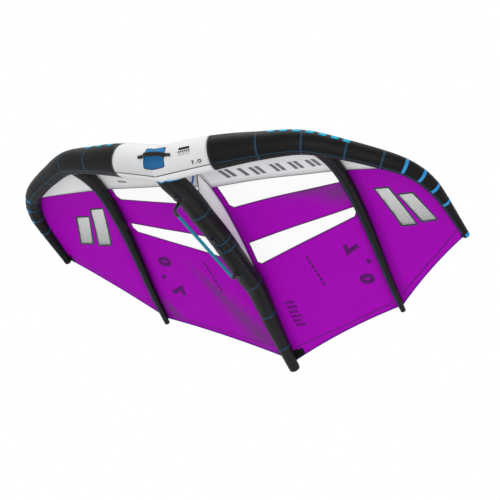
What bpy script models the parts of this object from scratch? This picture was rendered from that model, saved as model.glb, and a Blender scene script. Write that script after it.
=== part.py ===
"""Wingfoil wing: an inflated leading edge, three inflated struts and a cloth canopy.

Lengths are in metres. The wing is modelled in a nose frame whose zero is the lower seam of the
leading edge at its middle: X runs along the span, Y from the nose to the tail, Z up to the canopy.
The empty named wing then moves everything so that the world origin is the flat face of the
front handle mount, by which the wing is held.
"""
import bpy
import bmesh
from math import asin, cos, hypot, pi, radians, sin
from mathutils import Matrix, Vector

# Fits
FIT = 0.0003
RUNNING_FIT = 0.0006
OVERRUN = 0.02

# Leading edge
HALF_SPAN = 1.948
SWEEP = 1.43
DIHEDRAL_LIFT = 0.367
NOSE_RADIUS = 0.145
SLEEVE_WALL = 0.0012
BLADDER_WALL = 0.0008
BLADDER_START = 0.02
SEAM_INSET = 0.012
TIP_CAP_LENGTH = 0.045
TIP_CAP_ROUND = 0.006
# Along the tube from nose to tip: span, sweep, lift and radius, each a share of its full value
STATION_SHARES = (
    (0.0, 0.0, 0.0, 1.0),
    (0.229, 0.016, 0.277, 0.935),
    (0.411, 0.047, 0.482, 0.778),
    (0.581, 0.1, 0.681, 0.668),
    (0.733, 0.214, 0.79, 0.565),
    (0.855, 0.326, 0.866, 0.515),
    (0.92, 0.408, 0.926, 0.466),
    (0.9625, 0.497, 0.962, 0.43),
    (0.987, 0.594, 0.973, 0.379),
    (0.997, 0.713, 0.981, 0.296),
    (1.0, 1.0, 1.0, 0.193),
)
STEPS_PER_STATION = 2
TUBE_RESOLUTION = 8
BLADDER_RESOLUTION = 3
STRUT_BLADDER_RESOLUTION = 2
STRUT_RESOLUTION = 6
SIDE_RESOLUTION = 4

# Canopy
CLOTH = 0.0016
PATCH_CLOTH = 0.0012
PANEL_GAP = 0.0008
SEAT_ANGLE = radians(25)
SIDE_X = 1.16
TAIL_Y = 2.38
TAIL_Z = 0.125
SIDE_TAIL_Y = 1.985
SIDE_TAIL_Z = 0.325
TIP_CHORD = 0.07
SCALLOP_MID = 0.035
SCALLOP_OUTER = 0.03
CAMBER_MID = 0.215
CAMBER_SIDE = 0.155
BILLOW = 0.012
CAMBER_FADE = 1.5
# Camber along the chord: place and height as shares of the chord and of the full camber
PROFILE_SHARES = (
    (0.0, 0.0), (0.06, 0.31), (0.13, 0.63), (0.21, 0.88), (0.29, 0.985), (0.36, 1.0),
    (0.5, 0.89), (0.6, 0.73), (0.72, 0.49), (0.86, 0.19), (1.0, 0.0),
)
# The windows' front and rear lines, as shares of the chord at the middle and at the side strut
WINDOW_LINE_SHARES = ((0.233, 0.268), (0.347, 0.331), (0.505, 0.466), (0.603, 0.507))
WINDOW_INNER_X = 0.085
WINDOW_OUTER_X = 1.09
STRIP_ROWS = 4
BAND_ROWS = (2, 3, 2, 6)
MID_COLUMNS = 8
OUTER_COLUMNS = 4
WEDGE_COLUMNS = 5
WEDGE_REACH_SHARE = 0.553
WEDGE_POINT_SHARE = 0.012

# Centre strut
STRUT_RADIUS = 0.096
STRUT_FRONT_Y = 0.045
STRUT_OVERHANG = 0.03
STRUT_BLADDER_FRONT_Y = 0.2
STRUT_RADIUS_SHARES = ((0.0, 1.0), (0.25, 0.97), (0.6, 0.9), (0.77, 0.72), (0.9, 0.57), (1.0, 0.48))
# Height of the cloth web between strut and canopy: place along the chord and height, as shares
WEB_HEIGHT = 0.166
WEB_SHARES = (
    (0.0, 0.52), (0.1, 0.74), (0.25, 1.0), (0.32, 0.95), (0.39, 0.8), (0.52, 0.5), (0.6, 0.25), (0.67, 0.0), (1.0, 0.0),
)
WEB_FRONT_Y = 0.47
WEB_REAR_Y = 1.5

# Side struts
SIDE_RADIUS = 0.057
SIDE_TAPER_SHARE = 0.4
SIDE_FRONT_SHARE = 0.03
SIDE_BLADDER_FRONT_Y = 0.3
SIDE_OVERHANG = 0.028
END_CAP_LENGTH = 0.012

# Handle mounts under the centre strut
MOUNT_Y = (0.301, 0.881, 0.992, 1.328)
BOSS_RADIUS = 0.024
BOSS_HEIGHT = 0.01
BOSS_EDGE = 0.002
PATCH_RADIUS = 0.045

# Harness line
LINE_RADIUS = 0.0095
END_RADIUS = 0.007
LINE_DROP = 0.09
LINE_REAR_DROP = 0.042
ANCHOR_OFFSET = 0.034
ANCHOR_WIDTH = 0.018
ANCHOR_LENGTH = 0.01
ANCHOR_DEPTH = 0.014
PIN_RADIUS = 0.004
PIN_LENGTH = 0.019
EYE_RADIUS = 0.0085
EYE_WIRE = 0.0036
BEND_STEPS = 6

# Front handle
PAD_HALF_WIDTH = 0.095
PAD_THICKNESS = 0.007
PAD_TOP_ANGLE = radians(11)
PAD_BOTTOM_ANGLE = radians(-57)
STRAP_ANGLE = radians(-26)
STRAP_HALF_LENGTH = 0.128
STRAP_WIDTH = 0.028
STRAP_END_WIDTH = 0.018
STRAP_THICKNESS = 0.0035
STRAP_BOW = 0.05
STRAP_COLUMNS = 16
STRAP_FLAT_SHARE = 0.125
STRAP_LIFT = 0.014
ANCHOR_BLOCK = 0.022

# Inflation valve and the hose from the leading edge to the strut
VALVE_X = -0.25
VALVE_ANGLE = radians(8)
VALVE_FLANGE = 0.024
VALVE_FLANGE_THICKNESS = 0.003
VALVE_NECK = 0.018
VALVE_NECK_HEIGHT = 0.009
VALVE_BORE = 0.0125
VALVE_DEPTH = 0.012
CAP_RADIUS = 0.019
CAP_THICKNESS = 0.0035
CAP_PLUG_DEPTH = 0.003
HINGE_PIN_RADIUS = 0.0016
HINGE_BARREL_RADIUS = 0.0034
HINGE_BARREL_HALF = 0.005
HINGE_LUG = 0.003
HINGE_OFFSET = 0.0265
HOSE_RADIUS = 0.0085
HOSE_BORE = 0.006
PORT_FLANGE = 0.018
PORT_FLANGE_THICKNESS = 0.0025
PORT_BARB = 0.0055
PORT_BORE = 0.0035
PORT_LENGTH = 0.018
PORT_SKIRT = 0.006
PORT_CLEARANCE = 0.0048
PORT_SEEK_ANGLE = radians(0.5)
STRUT_PORT_Y = 0.405
CLIP_HALF = 0.014
CLIP_BAR = 0.0045
CLIP_WIDTH = 0.01
CLIP_PLACE_SHARE = 0.5
CLIP_CLEARANCE = 0.004
HOSE_PULL_SHARE = 0.62
HOSE_STEPS = 12

# Corner patches sewn under the canopy
TAIL_PATCH_SHARE = 0.5
TIP_PATCH_SHARES = (0.15, 0.8)
TIP_PATCH_ROWS = 5

BLACK = (0.035, 0.035, 0.038)
WHITE = (0.78, 0.79, 0.8)
PURPLE = (0.34, 0.0, 0.45)
BLUE = (0.03, 0.28, 0.6)
TEAL = (0.012, 0.24, 0.34)
CLEAR = (0.86, 0.88, 0.9)
RUBBER = (0.5, 0.5, 0.52)


def clear_scene():
    for item in list(bpy.data.objects):
        bpy.data.objects.remove(item)


def new_collection(name):
    collection = bpy.data.collections.new(name)
    bpy.context.scene.collection.children.link(collection)
    return collection


def material(name, color, roughness, metallic=0.0):
    finish = bpy.data.materials.new(name)
    finish.use_nodes = True
    shader = finish.node_tree.nodes["Principled BSDF"]
    shader.inputs["Base Color"].default_value = (*color, 1.0)
    shader.inputs["Roughness"].default_value = roughness
    shader.inputs["Metallic"].default_value = metallic
    return finish


def new_empty(name, location, parent=None):
    empty = bpy.data.objects.new(name, None)
    PARTS.objects.link(empty)
    empty.location = location
    empty.parent = parent
    return empty


def new_object(name, mesh, finish, parent, pivot=None):
    """Adds one piece under the wing empty, or under a pivot empty on its joint's axis."""
    piece = bpy.data.objects.new(name, mesh)
    PARTS.objects.link(piece)
    mesh.materials.clear()
    mesh.materials.append(finish)
    piece.parent = pivot or parent
    if pivot:
        piece.location = -pivot.location
    return piece


def shade(mesh, angle=radians(40)):
    mesh.shade_smooth()
    mesh.set_sharp_from_angle(angle=angle)


def hermite(table, place):
    """Smooth value of a table of (place, value) pairs."""
    last = len(table) - 1
    index = 0
    while index < last - 1 and place > table[index + 1][0]:
        index += 1
    (x0, y0), (x1, y1) = table[index], table[index + 1]
    before = table[max(index - 1, 0)]
    after = table[min(index + 2, last)]
    width = x1 - x0
    share = min(max((place - x0) / width, 0.0), 1.0)
    slope0 = (y1 - before[1]) / (x1 - before[0]) * width
    slope1 = (after[1] - y0) / (after[0] - x0) * width
    square = share * share
    cube = square * share
    return ((2 * cube - 3 * square + 1) * y0 + (cube - 2 * square + share) * slope0
            + (3 * square - 2 * cube) * y1 + (cube - square) * slope1)


def leading_edge_path():
    """Points (centre, radius) of the right half of the leading edge, from nose to tip."""
    scale = (HALF_SPAN, SWEEP, DIHEDRAL_LIFT, NOSE_RADIUS)
    stations = [tuple(share * full for share, full in zip(row, scale)) for row in STATION_SHARES]
    path = []
    for step in range((len(stations) - 1) * STEPS_PER_STATION + 1):
        place = step / STEPS_PER_STATION
        values = [hermite([(i, row[axis]) for i, row in enumerate(stations)], place) for axis in range(4)]
        path.append((Vector((values[0], values[1], values[2] + NOSE_RADIUS)), values[3]))
    return path


def running_lengths(path):
    lengths = [0.0]
    for (a, _), (b, _) in zip(path[:-1], path[1:]):
        lengths.append(lengths[-1] + (b - a).length)
    return lengths


def at_measure(path, measures, value):
    """Centre, radius and direction of a path where a rising measure reaches a value."""
    index = 0
    while index < len(path) - 2 and value > measures[index + 1]:
        index += 1
    share = (value - measures[index]) / (measures[index + 1] - measures[index])
    (a, ra), (b, rb) = path[index], path[index + 1]
    return a.lerp(b, share), ra + (rb - ra) * share, (b - a).normalized()


def length_at(path, measures, value):
    """Length along a path to the place where a rising measure reaches a value."""
    before = [(point, radius) for (point, radius), measure in zip(path, measures) if measure < value]
    return running_lengths(before + [at_measure(path, measures, value)[:2]])[-1]


def stretch(path, start, end):
    """The part of a path between two lengths along it."""
    lengths = running_lengths(path)
    inside = [point for point, length in zip(path, lengths) if start + FIT < length < end - FIT]
    return [at_measure(path, lengths, start)[:2]] + inside + [at_measure(path, lengths, end)[:2]]


def mirrored(path, side):
    return [(Vector((side * point.x, point.y, point.z)), radius) for point, radius in path]


def tube_mesh(name, path, resolution, less=0.0, filled=False):
    """A tapered tube along a path; less makes it thinner all along."""
    radii = [radius - less for _, radius in path]
    curve = bpy.data.curves.new(name, "CURVE")
    curve.dimensions = "3D"
    curve.twist_mode = "Z_UP"
    curve.bevel_depth = max(radii)
    curve.bevel_resolution = resolution
    curve.use_fill_caps = filled
    spline = curve.splines.new("POLY")
    spline.points.add(len(path) - 1)
    for point, (place, _), radius in zip(spline.points, path, radii):
        point.co = (*place, 1.0)
        point.radius = radius / curve.bevel_depth
    guide = bpy.data.objects.new(name + "_guide", curve)
    bpy.context.scene.collection.objects.link(guide)
    bpy.context.view_layer.update()
    seen = guide.evaluated_get(bpy.context.evaluated_depsgraph_get())
    mesh = bpy.data.meshes.new_from_object(seen)
    bpy.data.objects.remove(guide)
    form = bmesh.new()
    form.from_mesh(mesh)
    bmesh.ops.remove_doubles(form, verts=form.verts, dist=FIT / 10)
    form.to_mesh(mesh)
    form.free()
    shade(mesh)
    return mesh


def shell(piece, wall, offset=-1.0):
    solidify = piece.modifiers.new("wall", "SOLIDIFY")
    solidify.thickness = wall
    solidify.offset = offset


def cut(piece, cutter, operation="DIFFERENCE"):
    boolean = piece.modifiers.new("cut", "BOOLEAN")
    boolean.object = cutter
    boolean.operation = operation


def cutter(name, mesh, parent, location=(0, 0, 0)):
    tool = bpy.data.objects.new(name, mesh)
    CUTTERS.objects.link(tool)
    tool.parent = parent
    tool.location = location
    tool.hide_render = True
    tool.display_type = "WIRE"
    return tool


def primitive(name, build):
    """A mesh from one bmesh primitive call."""
    form = bmesh.new()
    build(form)
    mesh = bpy.data.meshes.new(name)
    form.to_mesh(mesh)
    form.free()
    return mesh


def rod(name, start, end, radius, end_radius=None, segments=20):
    """A capped cylinder or cone between two points."""
    run = Vector(end) - Vector(start)
    place = Matrix.Translation((Vector(start) + Vector(end)) / 2) @ run.to_track_quat("Z", "Y").to_matrix().to_4x4()
    far = radius if end_radius is None else end_radius

    def build(form):
        bmesh.ops.create_cone(form, cap_ends=True, segments=segments, radius1=radius, radius2=far,
                              depth=run.length, matrix=place)
    mesh = primitive(name, build)
    shade(mesh)
    return mesh


def block(name, centre, size, turn=None):
    place = Matrix.Translation(Vector(centre)) @ (turn or Matrix.Identity(4)) @ Matrix.Diagonal((*size, 1.0))
    return primitive(name, lambda form: bmesh.ops.create_cube(form, size=1.0, matrix=place))


def turned(name, profile, segments=24):
    """A solid turned about Z: the profile runs top to bottom at +X, from axis to axis or in a ring."""
    mesh = bpy.data.meshes.new(name)
    form = bmesh.new()
    rim = [form.verts.new((radius, 0.0, height)) for radius, height in profile]
    closed = profile[0][0] > 0
    for a, b in zip(rim[:-1], rim[1:]):
        form.edges.new((a, b))
    if closed:
        form.edges.new((rim[-1], rim[0]))
    bmesh.ops.spin(form, geom=form.verts[:] + form.edges[:], axis=(0, 0, 1), cent=(0, 0, 0),
                   angle=2 * pi, steps=segments, use_merge=True)
    bmesh.ops.remove_doubles(form, verts=form.verts, dist=FIT / 10)
    bmesh.ops.recalc_face_normals(form, faces=form.faces)
    form.to_mesh(mesh)
    form.free()
    shade(mesh)
    return mesh


def edge_bevel(piece, width, segments=2):
    bevel = piece.modifiers.new("edge", "BEVEL")
    bevel.width = width
    bevel.segments = segments
    bevel.limit_method = "ANGLE"


def section(x, angle, lift):
    """Point of the leading edge's surface in the plane at x, angle up from the nose, lifted off it."""
    centre, radius, run = at_measure(NOSE_PATH, NOSE_X, abs(x))
    tall = (radius + lift) * hypot(1.0, run.z / run.x)
    deep = (radius + lift) * hypot(1.0, run.y / run.x)
    return Vector((x, centre.y - cos(angle) * deep, centre.z + sin(angle) * tall))


def front_edge(span):
    """Canopy's seat on the leading edge; span is 0 at the middle, 1 at the side strut, 2 at the tip."""
    lift = FIT + CLOTH
    inner = section(min(span, 1.0) * SIDE_X, pi / 2 + SEAT_ANGLE, lift)
    if span <= 1.0:
        return inner
    length = SIDE_LENGTH + (span - 1.0) * (NOSE_LENGTHS[-1] - TIP_CHORD - SIDE_LENGTH)
    centre, radius, run = at_measure(NOSE_PATH, NOSE_LENGTHS, length)
    outer = tube_side(centre, radius + lift, run)
    ease = min((span - 1.0) * 3.0, 1.0)
    shifted = section(min(centre.x, HALF_SPAN * STATION_SHARES[-3][0]), pi / 2 + SEAT_ANGLE, lift)
    return shifted.lerp(outer, ease)


def tube_side(centre, reach, run):
    """Point beside the tube at the canopy's seat angle, square to the tube's run."""
    inward = Vector((0, 0, 1)).cross(run).normalized()
    upward = run.cross(inward)
    return centre + reach * (upward * cos(SEAT_ANGLE) + inward * sin(SEAT_ANGLE))


def rear_edge(span):
    """Trailing edge, a hollow curve between strut and strut and between strut and tip."""
    side = Vector((SIDE_X, SIDE_TAIL_Y, SIDE_TAIL_Z))
    if span <= 1.0:
        tail = Vector((0.0, TAIL_Y, TAIL_Z))
        place = tail.lerp(side, span)
        return place - Vector((0, SCALLOP_MID * 4 * span * (1 - span), 0))
    centre, radius, run = at_measure(NOSE_PATH, NOSE_LENGTHS, NOSE_LENGTHS[-1])
    share = span - 1.0
    place = side.lerp(tube_side(centre, radius + FIT + CLOTH, run), share)
    return place - Vector((0, SCALLOP_OUTER * 4 * share * (1 - share), 0))


def camber(span):
    if span <= 1.0:
        return CAMBER_MID + (CAMBER_SIDE - CAMBER_MID) * span + BILLOW * sin(pi * span)
    return CAMBER_SIDE * (2.0 - span) ** CAMBER_FADE + BILLOW * sin(pi * (span - 1.0))


def canopy(span, chord):
    """Point of the canopy's middle surface."""
    place = front_edge(span).lerp(rear_edge(span), chord)
    return place + Vector((0, 0, camber(span) * hermite(PROFILE_SHARES, chord)))


def window_line(index, span):
    """Chord share of a cross line: seat, window lines and trailing edge, each straight in plan."""
    if index == 0:
        return 0.0
    if index == len(WINDOW_LINE_SHARES) + 1:
        return 1.0
    middle, side = WINDOW_LINE_SHARES[index - 1]
    if span == 0.0:
        return middle
    if span >= 1.0 and index > 1:
        return side
    start, end = (front_edge(at).lerp(rear_edge(at), share).y for at, share in ((0.0, middle), (1.0, side)))
    reach = span
    if span > 1.0:
        start, end = end, front_edge(1.0 + WEDGE_REACH_SHARE).y
        reach = min((span - 1.0) / WEDGE_REACH_SHARE, 1.0)
    place = start + (end - start) * reach
    front = front_edge(span).y
    return max((place - front) / (rear_edge(span).y - front), 0.0)


def chord_rows(first, last, span, front_gap=0.0, rear_gap=0.0):
    """Chord shares of the cloth's rows between two cross lines."""
    rows = (STRIP_ROWS,) + BAND_ROWS
    chord = (rear_edge(span) - front_edge(span)).length
    start = window_line(first, span) + front_gap / chord
    shares = [start]
    for band in range(first, last):
        end = window_line(band + 1, span)
        if band == last - 1:
            end -= rear_gap / chord
        for step in range(1, rows[band] + 1):
            shares.append(start + (end - start) * step / rows[band])
        start = end
    return shares


def cloth_panel(name, finish, side, columns, first, last, gaps=(0.0, 0.0), holes=None):
    """A canopy panel between two cross lines; holes(column, row) leaves faces out."""
    rows = len(chord_rows(first, last, columns[0])) - 1
    count = len(columns) - 1
    form = bmesh.new()
    bmesh.ops.create_grid(form, x_segments=count, y_segments=rows, size=0.5)
    places = {}
    for vert in form.verts:
        places[vert] = (round((vert.co.x + 0.5) * count), round((vert.co.y + 0.5) * rows))
    if holes:
        gone = [face for face in form.faces
                if holes(min(places[v][0] for v in face.verts), min(places[v][1] for v in face.verts))]
        bmesh.ops.delete(form, geom=gone, context="FACES")
    for vert in form.verts:
        column, row = places[vert]
        span = columns[column]
        point = canopy(span, chord_rows(first, last, span, *gaps)[row])
        vert.co = (side * point.x, point.y, point.z)
    mesh = bpy.data.meshes.new(name)
    form.to_mesh(mesh)
    form.free()
    shade(mesh)
    piece = new_object(name, mesh, finish, WING)
    shell(piece, CLOTH, 0.0)
    return piece


def even(start, end, count):
    return [start + (end - start) * step / count for step in range(count + 1)]


def side_name(side):
    return "right" if side > 0 else "left"


def outer_columns(seam):
    wedge = even(1.0 + seam, 1.0 + WEDGE_REACH_SHARE - WEDGE_POINT_SHARE, WEDGE_COLUMNS)
    return wedge, wedge + even(1.0 + WEDGE_REACH_SHARE, 2.0, OUTER_COLUMNS)


def build_canopy(side):
    label = side_name(side)
    seam = PANEL_GAP / 2 / SIDE_X
    inner = WINDOW_INNER_X / SIDE_X
    outer = WINDOW_OUTER_X / SIDE_X
    middle = even(inner, outer, MID_COLUMNS)
    whole = [seam] + middle + [1.0 - seam]
    panes = [inner + 2 * seam] + middle[1:-1] + [outer - 2 * seam]
    cloth_panel("front_strip_" + label, SAIL_WHITE, side, whole, 0, 1, (0.0, FIT / 2))
    first_pane = range(0, BAND_ROWS[0])
    second_pane = range(sum(BAND_ROWS[:2]), sum(BAND_ROWS[:3]))

    def in_pane(column, row):
        return 0 < column < len(whole) - 2 and (row in first_pane or row in second_pane)
    cloth_panel("canopy_mid_" + label, SAIL_PURPLE, side, whole, 1, 5, (FIT / 2, 0.0), in_pane)
    cloth_panel("front_window_" + label, WINDOW, side, panes, 1, 2, (FIT / 2, FIT))
    cloth_panel("rear_window_" + label, WINDOW, side, panes, 3, 4, (FIT, FIT))
    wedge, fan = outer_columns(seam)
    cloth_panel("front_wedge_" + label, SAIL_WHITE, side, wedge, 0, 1, (0.0, FIT / 2))
    cloth_panel("canopy_outer_" + label, SAIL_PURPLE, side, fan, 1, 5, (FIT, 0.0))


def build_patch(name, side, columns, reach, rows, start=0.0):
    """A black corner patch sewn under one column of the canopy's faces, from row to row."""
    form = bmesh.new()
    bmesh.ops.create_grid(form, x_segments=1, y_segments=rows, size=0.5)
    for vert in form.verts:
        share = reach[0] if vert.co.x < 0 else reach[1]
        row = round((vert.co.y + 0.5) * rows) - rows - 1
        near, far = (panel_point(span, row, start) for span in columns)
        point = near.lerp(far, share) - Vector((0, 0, CLOTH / 2 + PATCH_CLOTH / 2 + 3 * FIT))
        vert.co = (side * point.x, point.y, point.z)
    mesh = bpy.data.meshes.new(name)
    form.to_mesh(mesh)
    form.free()
    piece = new_object(name, mesh, FABRIC_BLACK, WING)
    shell(piece, PATCH_CLOTH, 0.0)
    return piece


def panel_point(span, row, start):
    """Point of a panel's edge line at a row counted from the rear; the first row may start part way."""
    shares = chord_rows(1, 5, span)
    point = canopy(span, shares[row])
    if row == -2 and start:
        return point.lerp(canopy(span, shares[-1]), start)
    return point


def build_patches(side):
    label = side_name(side)
    tail = (PANEL_GAP / 2 / SIDE_X, WINDOW_INNER_X / SIDE_X)
    cut(build_patch("tail_patch_" + label, side, tail, (0.0, 1.0), 1, TAIL_PATCH_SHARE), SEAT_CUT)
    fan = outer_columns(0.0)[1]
    build_patch("tip_patch_" + label, side, fan[-2:], TIP_PATCH_SHARES, TIP_PATCH_ROWS)


def strut_radius(y):
    return STRUT_RADIUS * hermite(STRUT_RADIUS_SHARES, y / TAIL_Y)


def square_under(points, index, reach):
    """Point at a distance under a line of points that lies in a plane of constant x."""
    here = points[index]
    front = (here - points[index - 1]) if index else (points[1] - here)
    rear = (points[index + 1] - here) if index < len(points) - 1 else front
    front = Vector((0, front.y, front.z)).normalized()
    middle = (front + Vector((0, rear.y, rear.z)).normalized()).normalized()
    down = Vector((0, middle.z, -middle.y))
    return here + down * (reach / middle.dot(front))


def strut_path():
    """Centre line of the centre strut, hung under the canopy's middle rows."""
    rows = chord_rows(0, 1, 0.0)[:-1] + chord_rows(1, 5, 0.0)
    points = []
    for chord in rows:
        point = canopy(0.0, chord)
        web = WEB_HEIGHT * max(hermite(WEB_SHARES, point.y / TAIL_Y), 0.0)
        points.append(point - Vector((0, 0, web)))
    path = []
    for index, point in enumerate(points):
        radius = strut_radius(point.y)
        reach = (radius + CLOTH / 2 + 2 * FIT) * tilted(0.0, rows[index])
        path.append((square_under(points, index, reach), radius))
    return extend(path, STRUT_FRONT_Y, TAIL_Y + STRUT_OVERHANG)


def tilted(span, chord):
    """How much further down a round strut hangs because the canopy slopes down beside it."""
    here = canopy(span, chord)
    slopes = [0.0]
    for other in (span - WINDOW_INNER_X / SIDE_X, span + WINDOW_INNER_X / SIDE_X):
        beside = abs(other)
        front = front_edge(beside).y
        share = (here.y - front) / (rear_edge(beside).y - front)
        place = canopy(beside, min(max(share, 0.0), 1.0))
        slopes.append((here.z - place.z) / abs(place.x - here.x))
    return hypot(1.0, max(slopes))


def extend(path, front_y, rear_y):
    """A path lengthened in line at its tail, and started at front_y."""
    (a, ra), (b, rb) = path[-2:]
    share = (rear_y - b.y) / (b.y - a.y)
    path = path + [(b + (b - a) * share, rb + (rb - ra) * share)]
    kept = [(point, radius) for point, radius in path if point.y > front_y + OVERRUN / 2]
    (a, ra), (b, rb) = kept[:2]
    share = (a.y - front_y) / (b.y - a.y)
    return [(a - (b - a) * share, ra)] + kept


def side_path():
    """Centre line of a side strut, hung under the seam between two panels."""
    rows = [chord for chord in chord_rows(0, 1, 1.0)[:-1] + chord_rows(1, 5, 1.0) if chord > SIDE_FRONT_SHARE]
    points = [canopy(1.0, chord) for chord in rows]
    path = []
    for index, chord in enumerate(rows):
        radius = SIDE_RADIUS * (1.0 + (SIDE_TAPER_SHARE - 1.0) * chord)
        reach = (radius + CLOTH / 2 + 3 * FIT) * tilted(1.0, chord)
        path.append((square_under(points, index, reach), radius))
    return extend(path, path[0][0].y - OVERRUN, SIDE_TAIL_Y + SIDE_OVERHANG)


def build_leading_edge():
    total = NOSE_LENGTHS[-1] - TIP_CAP_LENGTH
    seam = NOSE_LENGTHS[STEPS_PER_STATION] - SEAM_INSET
    inner = stretch(NOSE_PATH, 0.0, seam - FIT / 2)
    whole = mirrored(inner[:0:-1], -1) + inner
    centre = new_object("le_sleeve_center", tube_mesh("le_sleeve_center", whole, TUBE_RESOLUTION), FABRIC_WHITE, WING)
    shell(centre, SLEEVE_WALL)
    cut(centre, VALVE_HOLE)
    outer = stretch(NOSE_PATH, seam + FIT / 2, total)
    for side in (1, -1):
        name = "le_sleeve_" + side_name(side)
        piece = new_object(name, tube_mesh(name, mirrored(outer, side), TUBE_RESOLUTION), FABRIC_BLACK, WING)
        shell(piece, SLEEVE_WALL)
        build_tip_cap(side, total)
    air = stretch(NOSE_PATH, 0.0, total - BLADDER_START)
    both = mirrored(air[:0:-1], -1) + air
    bladder = tube_mesh("le_bladder", both, BLADDER_RESOLUTION, SLEEVE_WALL + 2 * FIT)
    piece = new_object("le_bladder", bladder, BLADDER_FILM, WING)
    shell(piece, BLADDER_WALL)
    cut(piece, VALVE_HOLE)


def build_tip_cap(side, total):
    """The bright end cap of the leading edge, a short rounded plug."""
    start, radius, _ = at_measure(NOSE_PATH, NOSE_LENGTHS, total)
    end, end_radius = NOSE_PATH[-1]
    run = (end - start).normalized()
    start = start + run * FIT
    flip = Vector((side, 1, 1))
    name = "tip_cap_" + side_name(side)
    build_end_plug(name, start * flip, end * flip, radius, end_radius, TIP_CAP_ROUND, FABRIC_BLUE)


def build_end_plug(name, start, end, radius, end_radius, rounding, finish):
    """A plug with a rounded outer end that closes a tube."""
    run = end - start
    profile = [(0.0, run.length), (end_radius - rounding, run.length), (end_radius, run.length - rounding),
               (radius, 0.0), (0.0, 0.0)]
    mesh = turned(name, profile, 20)
    mesh.transform(Matrix.Translation(start) @ run.to_track_quat("Z", "Y").to_matrix().to_4x4())
    return new_object(name, mesh, finish, WING)


def build_struts():
    cut_radius = [(point, radius + 2 * FIT) for point, radius in NOSE_PATH[:-2]]
    whole = mirrored(cut_radius[:0:-1], -1) + cut_radius
    edge_cutter = cutter("leading_edge_cutter", tube_mesh("leading_edge_cutter", whole, TUBE_RESOLUTION, 0.0, True), WING)
    build_tube_strut("centre_strut", STRUT_PATH, (STRUT_RESOLUTION, STRUT_BLADDER_RESOLUTION), STRUT_BLADDER_FRONT_Y,
                     edge_cutter, 1)
    for side in (1, -1):
        build_tube_strut("side_strut_" + side_name(side), SIDE_PATH, (SIDE_RESOLUTION, SIDE_RESOLUTION),
                         SIDE_BLADDER_FRONT_Y, edge_cutter, side)
    return edge_cutter


def build_tube_strut(name, path, resolutions, bladder_front_y, edge_cutter, side):
    """A strut's sleeve, the bladder in it and its end cap."""
    path = mirrored(path, side)
    sleeve = new_object(name, tube_mesh(name, path, resolutions[0]), FABRIC_BLACK, WING)
    shell(sleeve, SLEEVE_WALL)
    cut(sleeve, edge_cutter)
    lengths = running_lengths(path)
    measure = [point.y for point, _ in path]
    start = at_measure(path, measure, bladder_front_y)[:2]
    rear = [pair for pair in path if pair[0].y > bladder_front_y + OVERRUN]
    air = [start] + rear[:-1] + [at_measure(path, lengths, lengths[-1] - BLADDER_START)[:2]]
    mesh = tube_mesh(name + "_bladder", air, resolutions[1], SLEEVE_WALL + 2 * FIT)
    shell(new_object(name + "_bladder", mesh, BLADDER_FILM, WING), BLADDER_WALL)
    end, radius = path[-1]
    run = (end - path[-2][0]).normalized()
    build_end_plug(name + "_cap", end + run * FIT, end + run * END_CAP_LENGTH, radius, radius, END_CAP_LENGTH / 3,
                   FABRIC_BLACK)


def strut_under(y, lift=0.0):
    """Lowest point of the centre strut's surface at y, and the strut's radius there."""
    centre, radius, run = at_measure(STRUT_PATH, [point.y for point, _ in STRUT_PATH], y)
    return centre.z - (radius + lift) / run.y, radius, centre.z


def strut_over(y):
    """Highest point of the centre strut's surface at y."""
    centre, radius, run = at_measure(STRUT_PATH, [point.y for point, _ in STRUT_PATH], y)
    return centre.z + radius / run.y


def build_web():
    """The cloth web that joins the strut's top to the canopy."""
    rows = [canopy(0.0, chord) for chord in chord_rows(0, 1, 0.0)[:-1] + chord_rows(1, 5, 0.0)]
    measure = [point.y for point in rows]
    inside = [y for y in measure if WEB_FRONT_Y + OVERRUN < y < WEB_REAR_Y - OVERRUN]
    columns = [WEB_FRONT_Y] + inside + [WEB_REAR_Y]
    form = bmesh.new()
    bmesh.ops.create_grid(form, x_segments=len(columns) - 1, y_segments=2, size=0.5)
    pairs = [(point, 0.0) for point in rows]
    for vert in form.verts:
        y = columns[round((vert.co.x + 0.5) * (len(columns) - 1))]
        top = at_measure(pairs, measure, y)[0].z - CLOTH / 2 - 2 * FIT
        centre, radius, run = at_measure(STRUT_PATH, [point.y for point, _ in STRUT_PATH], y)
        bottom = centre.z + (radius + FIT) / run.y
        vert.co = (0.0, y, bottom + (max(top, bottom + FIT) - bottom) * (vert.co.y + 0.5))
    mesh = bpy.data.meshes.new("strut_web")
    form.to_mesh(mesh)
    form.free()
    shell(new_object("strut_web", mesh, SAIL_WHITE, WING), PATCH_CLOTH, 0.0)


def build_mount(index, y, seat_cutter):
    """A reinforcing disc on the strut's underside and the hard boss that a handle screws to."""
    name = f"mount_patch_{index}"
    mesh = tube_mesh(name, STRUT_PATH, STRUT_RESOLUTION, -FIT)
    patch = new_object(name, mesh, FABRIC_BLACK, WING)
    shell(patch, PATCH_CLOTH, 1.0)
    low = strut_under(y)[0]
    disc = rod(name + "_outline", (0, y, low - OVERRUN), (0, y, low + OVERRUN), PATCH_RADIUS, segments=24)
    cut(patch, cutter(name + "_outline", disc, WING), "INTERSECT")
    face_z = mount_face(y)
    boss = rod(f"mount_boss_{index}", (0, y, face_z), (0, y, face_z + BOSS_HEIGHT + OVERRUN), BOSS_RADIUS, segments=24)
    piece = new_object(f"mount_boss_{index}", boss, PLASTIC_BLACK, WING)
    edge_bevel(piece, BOSS_EDGE)
    cut(piece, seat_cutter)


def mount_face(y):
    return strut_under(y)[0] - PATCH_CLOTH - 2 * FIT - BOSS_HEIGHT


def pin_height(y):
    return strut_under(y)[0] - PATCH_CLOTH - 2 * FIT - ANCHOR_DEPTH


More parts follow.
